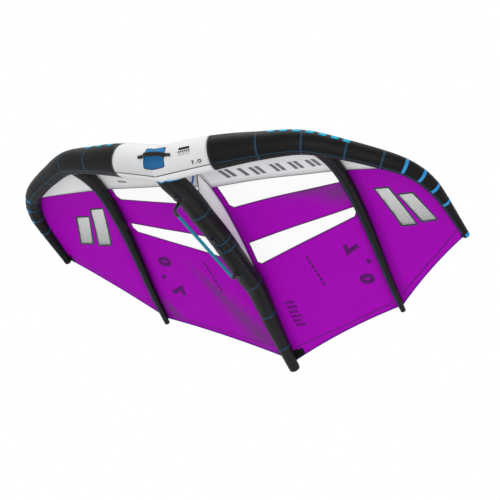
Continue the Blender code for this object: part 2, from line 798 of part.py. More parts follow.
def build_harness(seat_cutter):
    """The harness line, its two stiff ends with eyes, and the anchors under the strut."""
    front = Vector((0, MOUNT_Y[0] + ANCHOR_OFFSET, pin_height(MOUNT_Y[0] + ANCHOR_OFFSET)))
    rear = Vector((0, MOUNT_Y[-1] - ANCHOR_OFFSET, pin_height(MOUNT_Y[-1] - ANCHOR_OFFSET)))
    axis = (rear - front).normalized()
    pivot = new_empty("harness_axis", front, WING)
    for name, place, way in (("harness_anchor_front", front, 1), ("harness_anchor_rear", rear, -1)):
        build_anchor(name, place, axis * way, seat_cutter)
    eye = ANCHOR_LENGTH / 2 + PIN_LENGTH / 2
    line_start = front + Vector((0, LINE_DROP / 3, -LINE_DROP))
    line_end = rear + Vector((0, -LINE_REAR_DROP / 3, -LINE_REAR_DROP))
    run = (line_end - line_start).normalized()
    build_line_end("harness_end_front", front + axis * eye, axis, line_start, -run, pivot)
    build_line_end("harness_end_rear", rear - axis * eye, axis, line_end, run, pivot)
    line = rod("harness_line", line_start, line_end, LINE_RADIUS, segments=12)
    new_object("harness_line", line, LINE_TEAL, WING, pivot)


def build_anchor(name, place, way, seat_cutter):
    turn = way.to_track_quat("Y", "Z").to_matrix().to_4x4()
    tall = ANCHOR_DEPTH + OVERRUN
    body = block(name, place + Vector((0, 0, tall / 2 - PIN_RADIUS * 2)), (ANCHOR_WIDTH, ANCHOR_LENGTH, tall), turn)
    piece = new_object(name, body, PLASTIC_BLACK, WING)
    pin = rod(name + "_pin", place, place + way * (ANCHOR_LENGTH / 2 + PIN_LENGTH), PIN_RADIUS, segments=12)
    cut(piece, cutter(name + "_pin", pin, WING), "UNION")
    cut(piece, seat_cutter)


def build_line_end(name, eye, axis, joint, way, pivot):
    """A stiff black line end: an eye round the anchor's pin and a bent tube down to the line."""
    turn = axis.to_track_quat("Z", "Y").to_matrix().to_4x4()
    ring = torus(name + "_eye", eye, turn, EYE_RADIUS, EYE_WIRE)
    piece = new_object(name, ring, PLASTIC_BLACK, WING, pivot)
    start = eye - Vector((0, 0, EYE_RADIUS))
    foot = joint + way * FIT
    path = [start]
    handle_a = start - Vector((0, 0, (start - foot).length / 2))
    handle_b = foot + way * (start - foot).length / 2
    knee = foot + way * END_RADIUS
    for step in range(1, BEND_STEPS + 1):
        path.append(bezier(start, handle_a, handle_b, knee, step / BEND_STEPS))
    path.append(foot)
    bend = tube_mesh(name + "_bend", [(point, END_RADIUS) for point in path], 3, 0.0, True)
    cut(piece, cutter(name + "_bend", bend, WING), "UNION")


def bezier(a, b, c, d, share):
    left = 1 - share
    return a * left ** 3 + b * 3 * share * left ** 2 + c * 3 * share ** 2 * left + d * share ** 3


def torus(name, place, turn, radius, wire, segments=16, sides=8):
    form = bmesh.new()
    bmesh.ops.create_circle(form, segments=sides, radius=wire,
                            matrix=Matrix.Translation((radius, 0, 0)) @ Matrix.Rotation(pi / 2, 4, "X"))
    bmesh.ops.spin(form, geom=form.verts[:] + form.edges[:], axis=(0, 0, 1), cent=(0, 0, 0),
                   angle=2 * pi, steps=segments, use_merge=True)
    bmesh.ops.remove_doubles(form, verts=form.verts, dist=FIT / 10)
    bmesh.ops.recalc_face_normals(form, faces=form.faces)
    bmesh.ops.transform(form, matrix=Matrix.Translation(place) @ turn, verts=form.verts)
    mesh = bpy.data.meshes.new(name)
    form.to_mesh(mesh)
    form.free()
    shade(mesh)
    return mesh


def build_handle(edge_cutter):
    """The padded grip place on the nose and the webbing strap over it."""
    form = bmesh.new()
    bmesh.ops.create_grid(form, x_segments=8, y_segments=7, size=0.5)
    for vert in form.verts:
        angle = PAD_BOTTOM_ANGLE + (PAD_TOP_ANGLE - PAD_BOTTOM_ANGLE) * (vert.co.y + 0.5)
        vert.co = section(vert.co.x * 2 * PAD_HALF_WIDTH, angle, FIT + PAD_THICKNESS / 2)
    mesh = bpy.data.meshes.new("handle_pad")
    form.to_mesh(mesh)
    form.free()
    shade(mesh)
    shell(new_object("handle_pad", mesh, FABRIC_BLUE, WING), PAD_THICKNESS, 0.0)
    end = section(STRAP_HALF_LENGTH, STRAP_ANGLE, STRAP_LIFT)
    pivot = new_empty("handle_axis", (0, end.y, end.z), WING)
    build_strap(end, pivot)
    for side in (1, -1):
        build_handle_anchor(side, end, edge_cutter)


def build_strap(end, pivot):
    form = bmesh.new()
    bmesh.ops.create_grid(form, x_segments=STRAP_COLUMNS, y_segments=1, size=0.5)
    out = Vector((0, -cos(STRAP_ANGLE), sin(STRAP_ANGLE)))
    across = Vector((0, sin(STRAP_ANGLE), cos(STRAP_ANGLE)))
    for vert in form.verts:
        share = 2 * vert.co.x
        bent = min(abs(share) / (1 - STRAP_FLAT_SHARE), 1.0)
        bow = STRAP_BOW * (1 - bent ** 4) ** 2
        width = STRAP_WIDTH + (STRAP_END_WIDTH - STRAP_WIDTH) * share ** 6
        place = Vector((share * STRAP_HALF_LENGTH, end.y, end.z))
        vert.co = place + out * bow + across * width * vert.co.y
    mesh = bpy.data.meshes.new("handle_strap")
    form.to_mesh(mesh)
    form.free()
    shade(mesh)
    shell(new_object("handle_strap", mesh, FABRIC_BLACK, WING, pivot), STRAP_THICKNESS, 0.0)


def build_handle_anchor(side, end, edge_cutter):
    """The sewn block that holds one end of the strap, shaped to the tube it is sewn on."""
    name = "handle_anchor_" + side_name(side)
    out = Vector((0, -cos(STRAP_ANGLE), sin(STRAP_ANGLE)))
    tall = STRAP_LIFT + STRAP_THICKNESS + OVERRUN
    centre = Vector((side * (STRAP_HALF_LENGTH + FIT + ANCHOR_BLOCK / 2), end.y, end.z))
    centre += out * (STRAP_THICKNESS - tall / 2)
    turn = Matrix.Rotation(pi / 2 - STRAP_ANGLE, 4, "X")
    mesh = block(name, centre, (ANCHOR_BLOCK, ANCHOR_BLOCK, tall), turn)
    piece = new_object(name, mesh, FABRIC_BLACK, WING)
    cut(piece, edge_cutter)


def valve_seat():
    """An empty on the leading edge's top with its Z along the valve."""
    place = section(VALVE_X, pi / 2 - VALVE_ANGLE, FIT)
    _, _, run = at_measure(NOSE_PATH, NOSE_X, abs(VALVE_X))
    run = Vector((-run.x, run.y, run.z)) if VALVE_X < 0 else run
    out = Vector((0, -sin(VALVE_ANGLE), cos(VALVE_ANGLE)))
    out = (out - run * out.dot(run)).normalized()
    rear = out.cross(Vector((1, 0, 0))).normalized()
    right = rear.cross(out)
    turn = Matrix((right, rear, out)).transposed()
    seat = new_empty("valve_seat", place, WING)
    seat.rotation_euler = turn.to_euler()
    return seat


def build_valve(seat):
    """The inflation valve: a flanged neck, a push-in cap and the cap's hinge pin."""
    top = VALVE_NECK_HEIGHT
    profile = [(VALVE_BORE, top), (VALVE_NECK, top), (VALVE_NECK, VALVE_FLANGE_THICKNESS),
               (VALVE_FLANGE, VALVE_FLANGE_THICKNESS), (VALVE_FLANGE, 0.0), (VALVE_NECK, 0.0),
               (VALVE_NECK, -VALVE_DEPTH), (VALVE_BORE, -VALVE_DEPTH)]
    base = new_object("valve_base", turned("valve_base", profile), PLASTIC_BLACK, seat)
    hinge = Vector((0, HINGE_OFFSET, top + CAP_THICKNESS / 2 + FIT))
    lug_x = HINGE_BARREL_HALF + FIT + HINGE_LUG / 2
    for side in (1, -1):
        tall = hinge.z + HINGE_BARREL_RADIUS
        lug = block(f"valve_lug_{side_name(side)}", (side * lug_x, hinge.y, tall / 2 + FIT),
                    (HINGE_LUG, 2 * HINGE_BARREL_RADIUS, tall - FIT))
        cut(base, cutter(f"valve_lug_{side_name(side)}", lug, seat), "UNION")
    reach = HINGE_BARREL_HALF + FIT + HINGE_LUG
    bore = rod("hinge_bore", hinge - Vector((reach + OVERRUN, 0, 0)), hinge + Vector((reach + OVERRUN, 0, 0)),
               HINGE_PIN_RADIUS + RUNNING_FIT / 2, segments=16)
    hole = cutter("hinge_bore", bore, seat)
    cut(base, hole)
    pin = rod("valve_cap_pin", hinge - Vector((reach, 0, 0)), hinge + Vector((reach, 0, 0)), HINGE_PIN_RADIUS, segments=16)
    new_object("valve_cap_pin", pin, STEEL, seat)
    build_valve_cap(seat, hinge, hole)


def build_valve_cap(seat, hinge, hole):
    axis = new_empty("valve_cap_axis", hinge, seat)
    low = VALVE_NECK_HEIGHT + FIT
    plug = VALVE_BORE - RUNNING_FIT * 2
    profile = [(0.0, low + CAP_THICKNESS), (CAP_RADIUS, low + CAP_THICKNESS), (CAP_RADIUS, low), (plug, low),
               (plug, low - CAP_PLUG_DEPTH), (0.0, low - CAP_PLUG_DEPTH)]
    mesh = turned("valve_cap", profile)
    cap = new_object("valve_cap", mesh, PLASTIC_BLUE, seat, axis)
    tab = block("cap_tab", (0, (hinge.y + CAP_RADIUS / 2) / 2, low + CAP_THICKNESS / 2),
                (2 * HINGE_BARREL_HALF - 2 * FIT, hinge.y - CAP_RADIUS / 2, CAP_THICKNESS))
    cut(cap, cutter("cap_tab", tab, seat), "UNION")
    barrel = rod("cap_barrel", hinge - Vector((HINGE_BARREL_HALF, 0, 0)), hinge + Vector((HINGE_BARREL_HALF, 0, 0)),
                 HINGE_BARREL_RADIUS, segments=16)
    cut(cap, cutter("cap_barrel", barrel, seat), "UNION")
    cut(cap, hole)


def port_profile():
    return [(PORT_BORE, PORT_LENGTH), (PORT_BARB, PORT_LENGTH), (PORT_BARB, PORT_FLANGE_THICKNESS),
            (PORT_FLANGE, PORT_FLANGE_THICKNESS), (PORT_FLANGE, -PORT_SKIRT), (PORT_BORE, -PORT_SKIRT)]


def build_port(name, place, way, seat_cutter):
    piece = new_object(name, turned(name, port_profile(), 16), PLASTIC_BLACK, WING)
    piece.location = place
    piece.rotation_euler = way.to_track_quat("Z", "Y").to_euler()
    cut(piece, seat_cutter)


def port_angle():
    """Angle up from level on the leading edge's rear, where the hose port clears the strut's top."""
    angle = 0.0
    place = section(0.0, pi, 0.0)
    while angle < pi / 2 and place.z < strut_over(place.y):
        angle += PORT_SEEK_ANGLE
        place = section(0.0, pi - angle, 0.0)
    return angle + (PORT_FLANGE + PORT_CLEARANCE) / NOSE_RADIUS


def build_hose(edge_cutter):
    """The inflation hose that feeds the strut from the leading edge, its two ports and its clip."""
    angle = port_angle()
    nose = section(0.0, pi - angle, FIT)
    out = Vector((0, cos(angle), sin(angle)))
    centre, radius, run = at_measure(STRUT_PATH, [point.y for point, _ in STRUT_PATH], STRUT_PORT_Y)
    upward = Vector((0, -run.z, run.y))
    foot = centre + upward * (radius + FIT)
    build_port("hose_port_nose", nose, out, edge_cutter)
    build_port("hose_port_strut", foot, upward, SEAT_CUT)
    a = nose + out * (PORT_FLANGE_THICKNESS + FIT)
    d = foot + upward * (PORT_FLANGE_THICKNESS + FIT)
    b = a + out * PORT_LENGTH
    c = d + upward * PORT_LENGTH
    pull = (c - b).length * HOSE_PULL_SHARE
    path = [a]
    for step in range(HOSE_STEPS + 1):
        path.append(bezier(b, b + out * pull, c + upward * pull, c, step / HOSE_STEPS))
    path.append(d)
    hose = new_object("inflation_hose", tube_mesh("inflation_hose", [(point, HOSE_RADIUS) for point in path], 4),
                      HOSE_BLUE, WING)
    shell(hose, HOSE_RADIUS - HOSE_BORE)
    build_clip(path)


def clip_index(path):
    """The hose's middle point, or the next one forward where the clip keeps clear of the canopy."""
    index = round(CLIP_PLACE_SHARE * (len(path) - 1))
    reach = HOSE_RADIUS + RUNNING_FIT + CLIP_BAR + CLIP_CLEARANCE
    cloth = [canopy(0.0, chord) for chord in even(0.0, WINDOW_LINE_SHARES[0][0], HOSE_STEPS)]
    while index > 1 and min((point - path[index]).length for point in cloth) < reach:
        index -= 1
    return index


def build_clip(path):
    """The clip that pinches the hose: a frame above it and a bar below it, hinged at one side."""
    index = clip_index(path)
    centre = path[index]
    run = (path[index + 1] - path[index - 1]).normalized()
    side = Vector((-1, 0, 0))
    down = side.cross(run)
    turn = Matrix((side, run, down)).transposed().to_4x4()
    gap = HOSE_RADIUS + RUNNING_FIT
    high = centre - down * (gap + CLIP_BAR / 2)
    frame = new_object("hose_clip_frame", block("hose_clip_frame", high, (2 * CLIP_HALF, CLIP_WIDTH, CLIP_BAR), turn),
                       PLASTIC_BLUE, WING)
    tall = 2 * gap + CLIP_BAR
    post = centre - down * (CLIP_BAR / 2) + side * (CLIP_HALF - CLIP_BAR / 2)
    ear = block("clip_post", post, (CLIP_BAR, CLIP_WIDTH, tall), turn)
    cut(frame, cutter("clip_post", ear, WING), "UNION")
    pivot = new_empty("hose_clip_axis", centre + down * (gap + FIT / 2) + side * CLIP_HALF, WING)
    middle = centre + down * (gap + CLIP_BAR / 2 + FIT)
    bar = block("hose_clip_bar", middle, (2 * CLIP_HALF, CLIP_WIDTH, CLIP_BAR), turn)
    new_object("hose_clip_bar", bar, PLASTIC_BLUE, WING, pivot)


clear_scene()
PARTS = new_collection("wingfoil_wing")
CUTTERS = new_collection("cutters")
FABRIC_BLACK = material("sleeve_black", BLACK, 0.6)
FABRIC_WHITE = material("sleeve_white", WHITE, 0.6)
FABRIC_BLUE = material("pad_blue", BLUE, 0.6)
SAIL_PURPLE = material("canopy_purple", PURPLE, 0.5)
SAIL_WHITE = material("canopy_white", WHITE, 0.55)
WINDOW = material("window_film", CLEAR, 0.15)
BLADDER_FILM = material("bladder_film", RUBBER, 0.4)
PLASTIC_BLACK = material("plastic_black", BLACK, 0.4)
PLASTIC_BLUE = material("plastic_blue", BLUE, 0.4)
LINE_TEAL = material("line_teal", TEAL, 0.45)
HOSE_BLUE = material("hose_blue", BLUE, 0.35)
STEEL = material("steel", RUBBER, 0.3, 1.0)

NOSE_PATH = leading_edge_path()
NOSE_X = [point.x for point, _ in NOSE_PATH]
NOSE_LENGTHS = running_lengths(NOSE_PATH)
SIDE_LENGTH = length_at(NOSE_PATH, NOSE_X, SIDE_X)
STRUT_PATH = strut_path()
SIDE_PATH = side_path()
WING = new_empty("wing", (0, -MOUNT_Y[0], -mount_face(MOUNT_Y[0])))
SEAT = valve_seat()
VALVE_HOLE = cutter("valve_hole", rod("valve_hole", (0, 0, -OVERRUN), (0, 0, OVERRUN), VALVE_NECK + FIT), SEAT)
build_leading_edge()
EDGE_CUT = build_struts()
for hand in (1, -1):
    build_canopy(hand)
build_web()
SEAT_CUT = cutter("strut_seat_cutter", tube_mesh("strut_seat_cutter", STRUT_PATH, STRUT_RESOLUTION,
                                                 -PATCH_CLOTH - 2 * FIT, True), WING)
for number, place in enumerate(MOUNT_Y, 1):
    build_mount(number, place, SEAT_CUT)
build_harness(SEAT_CUT)
build_handle(EDGE_CUT)
build_valve(SEAT)
build_hose(EDGE_CUT)
for hand in (1, -1):
    build_patches(hand)
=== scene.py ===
# %% [markdown]
# # A wingfoil wing in its finishes
# This lesson dresses a wing that is already built as solid parts. The real wing is an inflated
# leading edge and three inflated struts, sewn from coated cloth, with a light canopy stretched
# between them. The solid model has the sizes. Here each soft part is modelled again as cloth with
# its seams, tapes and prints, and each hard part keeps its solid and gets a finer finish.

# %% Load the solid model as a fixed frame
from math import cos, hypot, pi, radians, sin

import bmesh
import bpy
from mathutils import Matrix, Vector
from mathutils.bvhtree import BVHTree


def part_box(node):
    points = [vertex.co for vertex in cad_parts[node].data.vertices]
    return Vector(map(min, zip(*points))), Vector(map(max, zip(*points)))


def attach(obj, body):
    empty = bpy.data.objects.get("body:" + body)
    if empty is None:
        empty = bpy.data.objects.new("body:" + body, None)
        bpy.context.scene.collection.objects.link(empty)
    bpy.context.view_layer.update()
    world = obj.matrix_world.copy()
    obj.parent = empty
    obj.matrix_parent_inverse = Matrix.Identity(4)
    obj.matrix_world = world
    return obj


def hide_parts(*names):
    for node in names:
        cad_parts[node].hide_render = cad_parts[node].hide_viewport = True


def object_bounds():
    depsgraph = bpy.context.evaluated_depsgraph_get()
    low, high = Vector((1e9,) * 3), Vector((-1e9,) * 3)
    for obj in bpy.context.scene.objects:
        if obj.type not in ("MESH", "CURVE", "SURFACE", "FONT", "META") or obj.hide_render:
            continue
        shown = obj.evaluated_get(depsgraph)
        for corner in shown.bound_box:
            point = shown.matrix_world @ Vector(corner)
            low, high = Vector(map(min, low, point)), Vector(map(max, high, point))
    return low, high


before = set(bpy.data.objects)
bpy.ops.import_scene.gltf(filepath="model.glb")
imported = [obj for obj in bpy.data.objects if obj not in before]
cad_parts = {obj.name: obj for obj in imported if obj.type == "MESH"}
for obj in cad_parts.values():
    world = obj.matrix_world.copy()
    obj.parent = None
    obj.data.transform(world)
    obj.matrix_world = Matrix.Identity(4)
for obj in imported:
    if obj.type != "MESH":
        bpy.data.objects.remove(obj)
CAD_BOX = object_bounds()
NOSE_AT = Vector((0.0, -0.301, -0.03625))
print("nodes", len(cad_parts), "box", [tuple(round(v, 3) for v in corner) for corner in CAD_BOX])

# %% [markdown]
# ## Sizes of the wing
# Every soft piece is laid out with the same measures as the solid model, so it lies where its
# solid lies. The tube's stations, the canopy's profile and the struts' heights are tables of
# shares, and one smooth curve through each table gives every place between.

# %% Measures of the wing
HALF_SPAN = 1.948
SWEEP = 1.43
DIHEDRAL_LIFT = 0.367
NOSE_RADIUS = 0.145
STATION_SHARES = (
    (0.0, 0.0, 0.0, 1.0),
    (0.229, 0.016, 0.277, 0.935),
    (0.411, 0.047, 0.482, 0.778),
    (0.581, 0.1, 0.681, 0.668),
    (0.733, 0.214, 0.79, 0.565),
    (0.855, 0.326, 0.866, 0.515),
    (0.92, 0.408, 0.926, 0.466),
    (0.9625, 0.497, 0.962, 0.43),
    (0.987, 0.594, 0.973, 0.379),
    (0.997, 0.713, 0.981, 0.296),
    (1.0, 1.0, 1.0, 0.193),
)
STEPS_PER_STATION = 8
FIT = 0.0003
CLOTH = 0.0016
WALL = 0.0012
SEAT_ANGLE = radians(25)
SIDE_X = 1.16
TAIL_Y = 2.38
TAIL_Z = 0.125
SIDE_TAIL_Y = 1.985
SIDE_TAIL_Z = 0.325
TIP_CHORD = 0.07
TIP_CAP_LENGTH = 0.045
SCALLOP_MID = 0.035
SCALLOP_OUTER = 0.03
CAMBER_MID = 0.215
CAMBER_SIDE = 0.155
BILLOW = 0.012
CAMBER_FADE = 1.5
PROFILE_SHARES = (
    (0.0, 0.0), (0.06, 0.31), (0.13, 0.63), (0.21, 0.88), (0.29, 0.985), (0.36, 1.0),
    (0.5, 0.89), (0.6, 0.73), (0.72, 0.49), (0.86, 0.19), (1.0, 0.0),
)
WINDOW_LINE_SHARES = ((0.233, 0.268), (0.347, 0.331), (0.505, 0.466), (0.603, 0.507))
WEDGE_REACH_SHARE = 0.553
STRUT_RADIUS = 0.096
STRUT_RADIUS_SHARES = ((0.0, 1.0), (0.25, 0.97), (0.6, 0.9), (0.77, 0.72), (0.9, 0.57), (1.0, 0.48))
STRUT_OVERHANG = 0.03
WEB_HEIGHT = 0.166
WEB_SHARES = (
    (0.0, 0.52), (0.1, 0.74), (0.25, 1.0), (0.32, 0.95), (0.39, 0.8),
    (0.52, 0.5), (0.6, 0.25), (0.67, 0.0), (1.0, 0.0),
)
WEB_FRONT_Y = 0.47
WEB_REAR_Y = 1.5
SIDE_RADIUS = 0.057
SIDE_TAPER_SHARE = 0.4
SIDE_FRONT_SHARE = 0.03
SIDE_OVERHANG = 0.028
MOUNT_Y = (0.301, 0.881, 0.992, 1.328)
SIDES = ((1, "right"), (-1, "left"))
print("half span", HALF_SPAN, "m, tail at", TAIL_Y, "m")

# %% [markdown]
# ## Curves through the tables
# A Hermite curve passes through every row of a table and bends smoothly between rows. The
# leading edge's centre line, its radius, the canopy's camber and the web's height all come
# from the same small function, as they do in the solid model.

# %% Smooth tables and the leading edge's centre line
def hermite(table, place):
    last = len(table) - 1
    index = 0
    while index < last - 1 and place > table[index + 1][0]:
        index += 1
    (x0, y0), (x1, y1) = table[index], table[index + 1]
    before = table[max(index - 1, 0)]
    after = table[min(index + 2, last)]
    width = x1 - x0
    share = min(max((place - x0) / width, 0.0), 1.0)
    slope0 = (y1 - before[1]) / (x1 - before[0]) * width
    slope1 = (after[1] - y0) / (after[0] - x0) * width
    square = share * share
    cube = square * share
    return ((2 * cube - 3 * square + 1) * y0 + (cube - 2 * square + share) * slope0
            + (3 * square - 2 * cube) * y1 + (cube - square) * slope1)


def smooth(value, low, high):
    share = min(max((value - low) / (high - low), 0.0), 1.0)
    return share * share * (3 - 2 * share)


def leading_edge_path():
    scale = (HALF_SPAN, SWEEP, DIHEDRAL_LIFT, NOSE_RADIUS)
    tables = [[(i, row[axis] * scale[axis]) for i, row in enumerate(STATION_SHARES)] for axis in range(4)]
    path = []
    for step in range((len(STATION_SHARES) - 1) * STEPS_PER_STATION + 1):
        values = [hermite(table, step / STEPS_PER_STATION) for table in tables]
        path.append((Vector((values[0], values[1], values[2] + NOSE_RADIUS)), values[3]))
    return path


def running_lengths(path):
    lengths = [0.0]
    for (a, _), (b, _) in zip(path[:-1], path[1:]):
        lengths.append(lengths[-1] + (b - a).length)
    return lengths


def at_measure(path, measures, value):
    """Place, radius and direction of a path where its measure has a value."""
    low, high = 0, len(path) - 2
    while low < high:
        half = (low + high + 1) // 2
        if value > measures[half]:
            low = half
        else:
            high = half - 1
    share = (value - measures[low]) / (measures[low + 1] - measures[low])
    (a, ra), (b, rb) = path[low], path[low + 1]
    return a.lerp(b, share), ra + (rb - ra) * share, (b - a).normalized()


def run_at(path, measures, value, reach=0.03):
    """Direction of a path, smoothed over a short reach."""
    low = at_measure(path, measures, max(value - reach, measures[0]))[0]
    high = at_measure(path, measures, min(value + reach, measures[-1]))[0]
    return (high - low).normalized()


print("profile at a quarter chord", round(hermite(PROFILE_SHARES, 0.25), 3))


# %% The leading edge's path
NOSE_PATH = leading_edge_path()
NOSE_X = [point.x for point, _ in NOSE_PATH]
NOSE_LENGTHS = running_lengths(NOSE_PATH)
SEAMS = [NOSE_LENGTHS[i * STEPS_PER_STATION] for i in range(1, 10)]
print("leading edge", round(NOSE_LENGTHS[-1], 3), "m a side; ring seams at", [round(s, 3) for s in SEAMS])


def length_to(x):
    """Length along the leading edge from its middle to a place x across."""
    for index in range(len(NOSE_X) - 1):
        if NOSE_X[index] <= x <= NOSE_X[index + 1]:
            share = (x - NOSE_X[index]) / (NOSE_X[index + 1] - NOSE_X[index])
            return NOSE_LENGTHS[index] + share * (NOSE_LENGTHS[index + 1] - NOSE_LENGTHS[index])
    return NOSE_LENGTHS[-1]


SIDE_LENGTH = length_to(SIDE_X)

# %% [markdown]
# ## Points on the leading edge
# A ring of the tube is square to its run, but at the nose the two halves meet at an angle, so
# the ring there lies in the middle plane, like a mitre joint. The ring's plane turns from the
# one to the other over the first hand's breadths, and the tube stays closed and smooth.

# %% Rings of the leading edge and the canopy's seat on it
MITRE_REACH = 0.4
SEAT_EASE = 3.0


def edge_point(length, angle, lift=0.0, side=1):
    """Point on the leading edge: angle 0 is the front, 90 the top, counted round the tube."""
    centre, radius, _ = at_measure(NOSE_PATH, NOSE_LENGTHS, length)
    run = run_at(NOSE_PATH, NOSE_LENGTHS, length)
    plane = Vector((1, 0, 0)).lerp(run, smooth(length, 0.0, MITRE_REACH)).normalized()
    front = run.cross(Vector((0, 0, 1))).normalized()
    up = front.cross(run)
    reach = (front * cos(angle) + up * sin(angle)) * (radius + lift)
    point = centre + reach - run * (reach.dot(plane) / run.dot(plane))
    return Vector((side * point.x, point.y, point.z))


def section(x, angle, lift):
    """Point on the leading edge's cut along a plane square to the x axis."""
    centre, radius, run = at_measure(NOSE_PATH, NOSE_X, abs(x))
    tall = (radius + lift) * hypot(1.0, run.z / run.x)
    deep = (radius + lift) * hypot(1.0, run.y / run.x)
    return Vector((x, centre.y - cos(angle) * deep, centre.z + sin(angle) * tall))


def tube_side(centre, reach, run):
    """Where cloth at the seat's angle touches a tube of a radius reach."""
    inward = Vector((0, 0, 1)).cross(run).normalized()
    upward = run.cross(inward)
    return centre + reach * (upward * cos(SEAT_ANGLE) + inward * sin(SEAT_ANGLE))


def front_edge(span):
    """Canopy's seat: span is 0 at the middle, 1 at the side strut and 2 at the tip."""
    lift = FIT + CLOTH
    inner = section(min(span, 1.0) * SIDE_X, pi / 2 + SEAT_ANGLE, lift)
    if span <= 1.0:
        return inner
    length = SIDE_LENGTH + (span - 1.0) * (NOSE_LENGTHS[-1] - TIP_CHORD - SIDE_LENGTH)
    centre, radius, run = at_measure(NOSE_PATH, NOSE_LENGTHS, length)
    outer = tube_side(centre, radius + lift, run)
    ease = min((span - 1.0) * SEAT_EASE, 1.0)
    shifted = section(min(centre.x, HALF_SPAN * STATION_SHARES[-3][0]), pi / 2 + SEAT_ANGLE, lift)
    return shifted.lerp(outer, ease)


print("seat leaves the tube", round(SEAT_ANGLE, 3), "radians behind its top")


# %% The canopy's surface and its cross lines
def rear_edge(span):
    side = Vector((SIDE_X, SIDE_TAIL_Y, SIDE_TAIL_Z))
    if span <= 1.0:
        place = Vector((0.0, TAIL_Y, TAIL_Z)).lerp(side, span)
        return place - Vector((0, SCALLOP_MID * 4 * span * (1 - span), 0))
    centre, radius, run = at_measure(NOSE_PATH, NOSE_LENGTHS, NOSE_LENGTHS[-1])
    share = span - 1.0
    place = side.lerp(tube_side(centre, radius + FIT + CLOTH, run), share)
    return place - Vector((0, SCALLOP_OUTER * 4 * share * (1 - share), 0))


def camber(span):
    if span <= 1.0:
        return CAMBER_MID + (CAMBER_SIDE - CAMBER_MID) * span + BILLOW * sin(pi * span)
    return CAMBER_SIDE * (2.0 - span) ** CAMBER_FADE + BILLOW * sin(pi * (span - 1.0))


def canopy(span, chord):
    place = front_edge(span).lerp(rear_edge(span), chord)
    return place + Vector((0, 0, camber(span) * hermite(PROFILE_SHARES, chord)))


LINE_ENDS = [[front_edge(at).lerp(rear_edge(at), share).y for at, share in enumerate(shares)]
             for shares in WINDOW_LINE_SHARES]
WEDGE_END = front_edge(1.0 + WEDGE_REACH_SHARE).y


def chord_length(span):
    return (rear_edge(span) - front_edge(span)).length


def window_line(index, span):
    """Chord share of a cross line, straight in plan: seat, the windows' four lines and trailing edge."""
    if index == 0:
        return 0.0
    if index > len(WINDOW_LINE_SHARES):
        return 1.0
    if span >= 1.0 and index > 1:
        return WINDOW_LINE_SHARES[index - 1][1]
    start, end = LINE_ENDS[index - 1]
    reach = span
    if span > 1.0:
        start, end = end, WEDGE_END
        reach = min((span - 1.0) / WEDGE_REACH_SHARE, 1.0)
    front = front_edge(span).y
    return max((start + (end - start) * reach - front) / (rear_edge(span).y - front), 0.0)


print("canopy middle chord", round(chord_length(0), 3), "m, at the struts", round(chord_length(1), 3), "m")

# %% [markdown]
# ## Lines of the struts
# The struts hang under the canopy. Their centre lines follow the canopy's middle and the seam
# over each side strut, lower by the tube's own radius and, at the centre, by the cloth web.

# %% Centre lines of the three struts
BESIDE = 0.073
KEPT_FROM = 0.01
STRUT_FRONT_Y = 0.045
SIDE_FRONT_REACH = 0.02


def even(start, end, count):
    return [start + (end - start) * step / count for step in range(count + 1)]


def tilted(span, chord):
    """How much lower a tube hangs because the canopy slopes to its sides."""
    here = canopy(span, chord)
    slopes = [0.0]
    for other in (span - BESIDE, span + BESIDE):
        beside = abs(other)
        front = front_edge(beside).y
        share = (here.y - front) / (rear_edge(beside).y - front)
        place = canopy(beside, min(max(share, 0.0), 1.0))
        slopes.append((here.z - place.z) / abs(place.x - here.x))
    return hypot(1.0, max(slopes))


def square_under(points, index, reach):
    """A point of a line moved down, square to the line."""
    here = points[index]
    front = (here - points[index - 1]) if index else (points[1] - here)
    rear = (points[index + 1] - here) if index < len(points) - 1 else front
    before, after = (Vector((0, run.y, run.z)).normalized() for run in (front, rear))
    middle = (before + after).normalized()
    return here + Vector((0, middle.z, -middle.y)) * reach


def extend(path, front_y, rear_y):
    """Carries a line on, or cuts it back, so that it runs from front_y to rear_y."""
    (a, ra), (b, rb) = path[-2:]
    share = (rear_y - b.y) / (b.y - a.y)
    path = path + [(b + (b - a) * share, rb + (rb - ra) * share)]
    kept = [(point, radius) for point, radius in path if point.y > front_y + KEPT_FROM]
    (a, ra), (b, rb) = kept[:2]
    share = (a.y - front_y) / (b.y - a.y)
    return [(a - (b - a) * share, ra)] + kept


def strut_path():
    rows = even(0.0, 1.0, 48)
    points = []
    for chord in rows:
        point = canopy(0.0, chord)
        web = WEB_HEIGHT * max(hermite(WEB_SHARES, point.y / TAIL_Y), 0.0)
        points.append(point - Vector((0, 0, web)))
    path = []
    for index, point in enumerate(points):
        radius = STRUT_RADIUS * hermite(STRUT_RADIUS_SHARES, point.y / TAIL_Y)
        drop = (radius + CLOTH / 2 + 2 * FIT) * tilted(0.0, rows[index])
        path.append((square_under(points, index, drop), radius))
    return extend(path, STRUT_FRONT_Y, TAIL_Y + STRUT_OVERHANG)


def side_path():
    rows = [chord for chord in even(0.0, 1.0, 40) if chord > SIDE_FRONT_SHARE]
    points = [canopy(1.0, chord) for chord in rows]
    path = []
    for index, chord in enumerate(rows):
        radius = SIDE_RADIUS * (1.0 + (SIDE_TAPER_SHARE - 1.0) * chord)
        drop = (radius + CLOTH / 2 + 3 * FIT) * tilted(1.0, chord)
        path.append((square_under(points, index, drop), radius))
    return extend(path, path[0][0].y - SIDE_FRONT_REACH, SIDE_TAIL_Y + SIDE_OVERHANG)


STRUT_PATH = strut_path()
STRUT_Y = [point.y for point, _ in STRUT_PATH]
SIDE_PATH = side_path()
SIDE_Y = [point.y for point, _ in SIDE_PATH]
print("centre strut from y", round(STRUT_Y[0], 3), "to", round(STRUT_Y[-1], 3))

# %% [markdown]
# ## Camera
# The photograph looks up at the wing's underside from far ahead and below, with a long lens, so
# the struts hardly converge. The camera is made first, because every later choice of detail
# depends on what it sees.

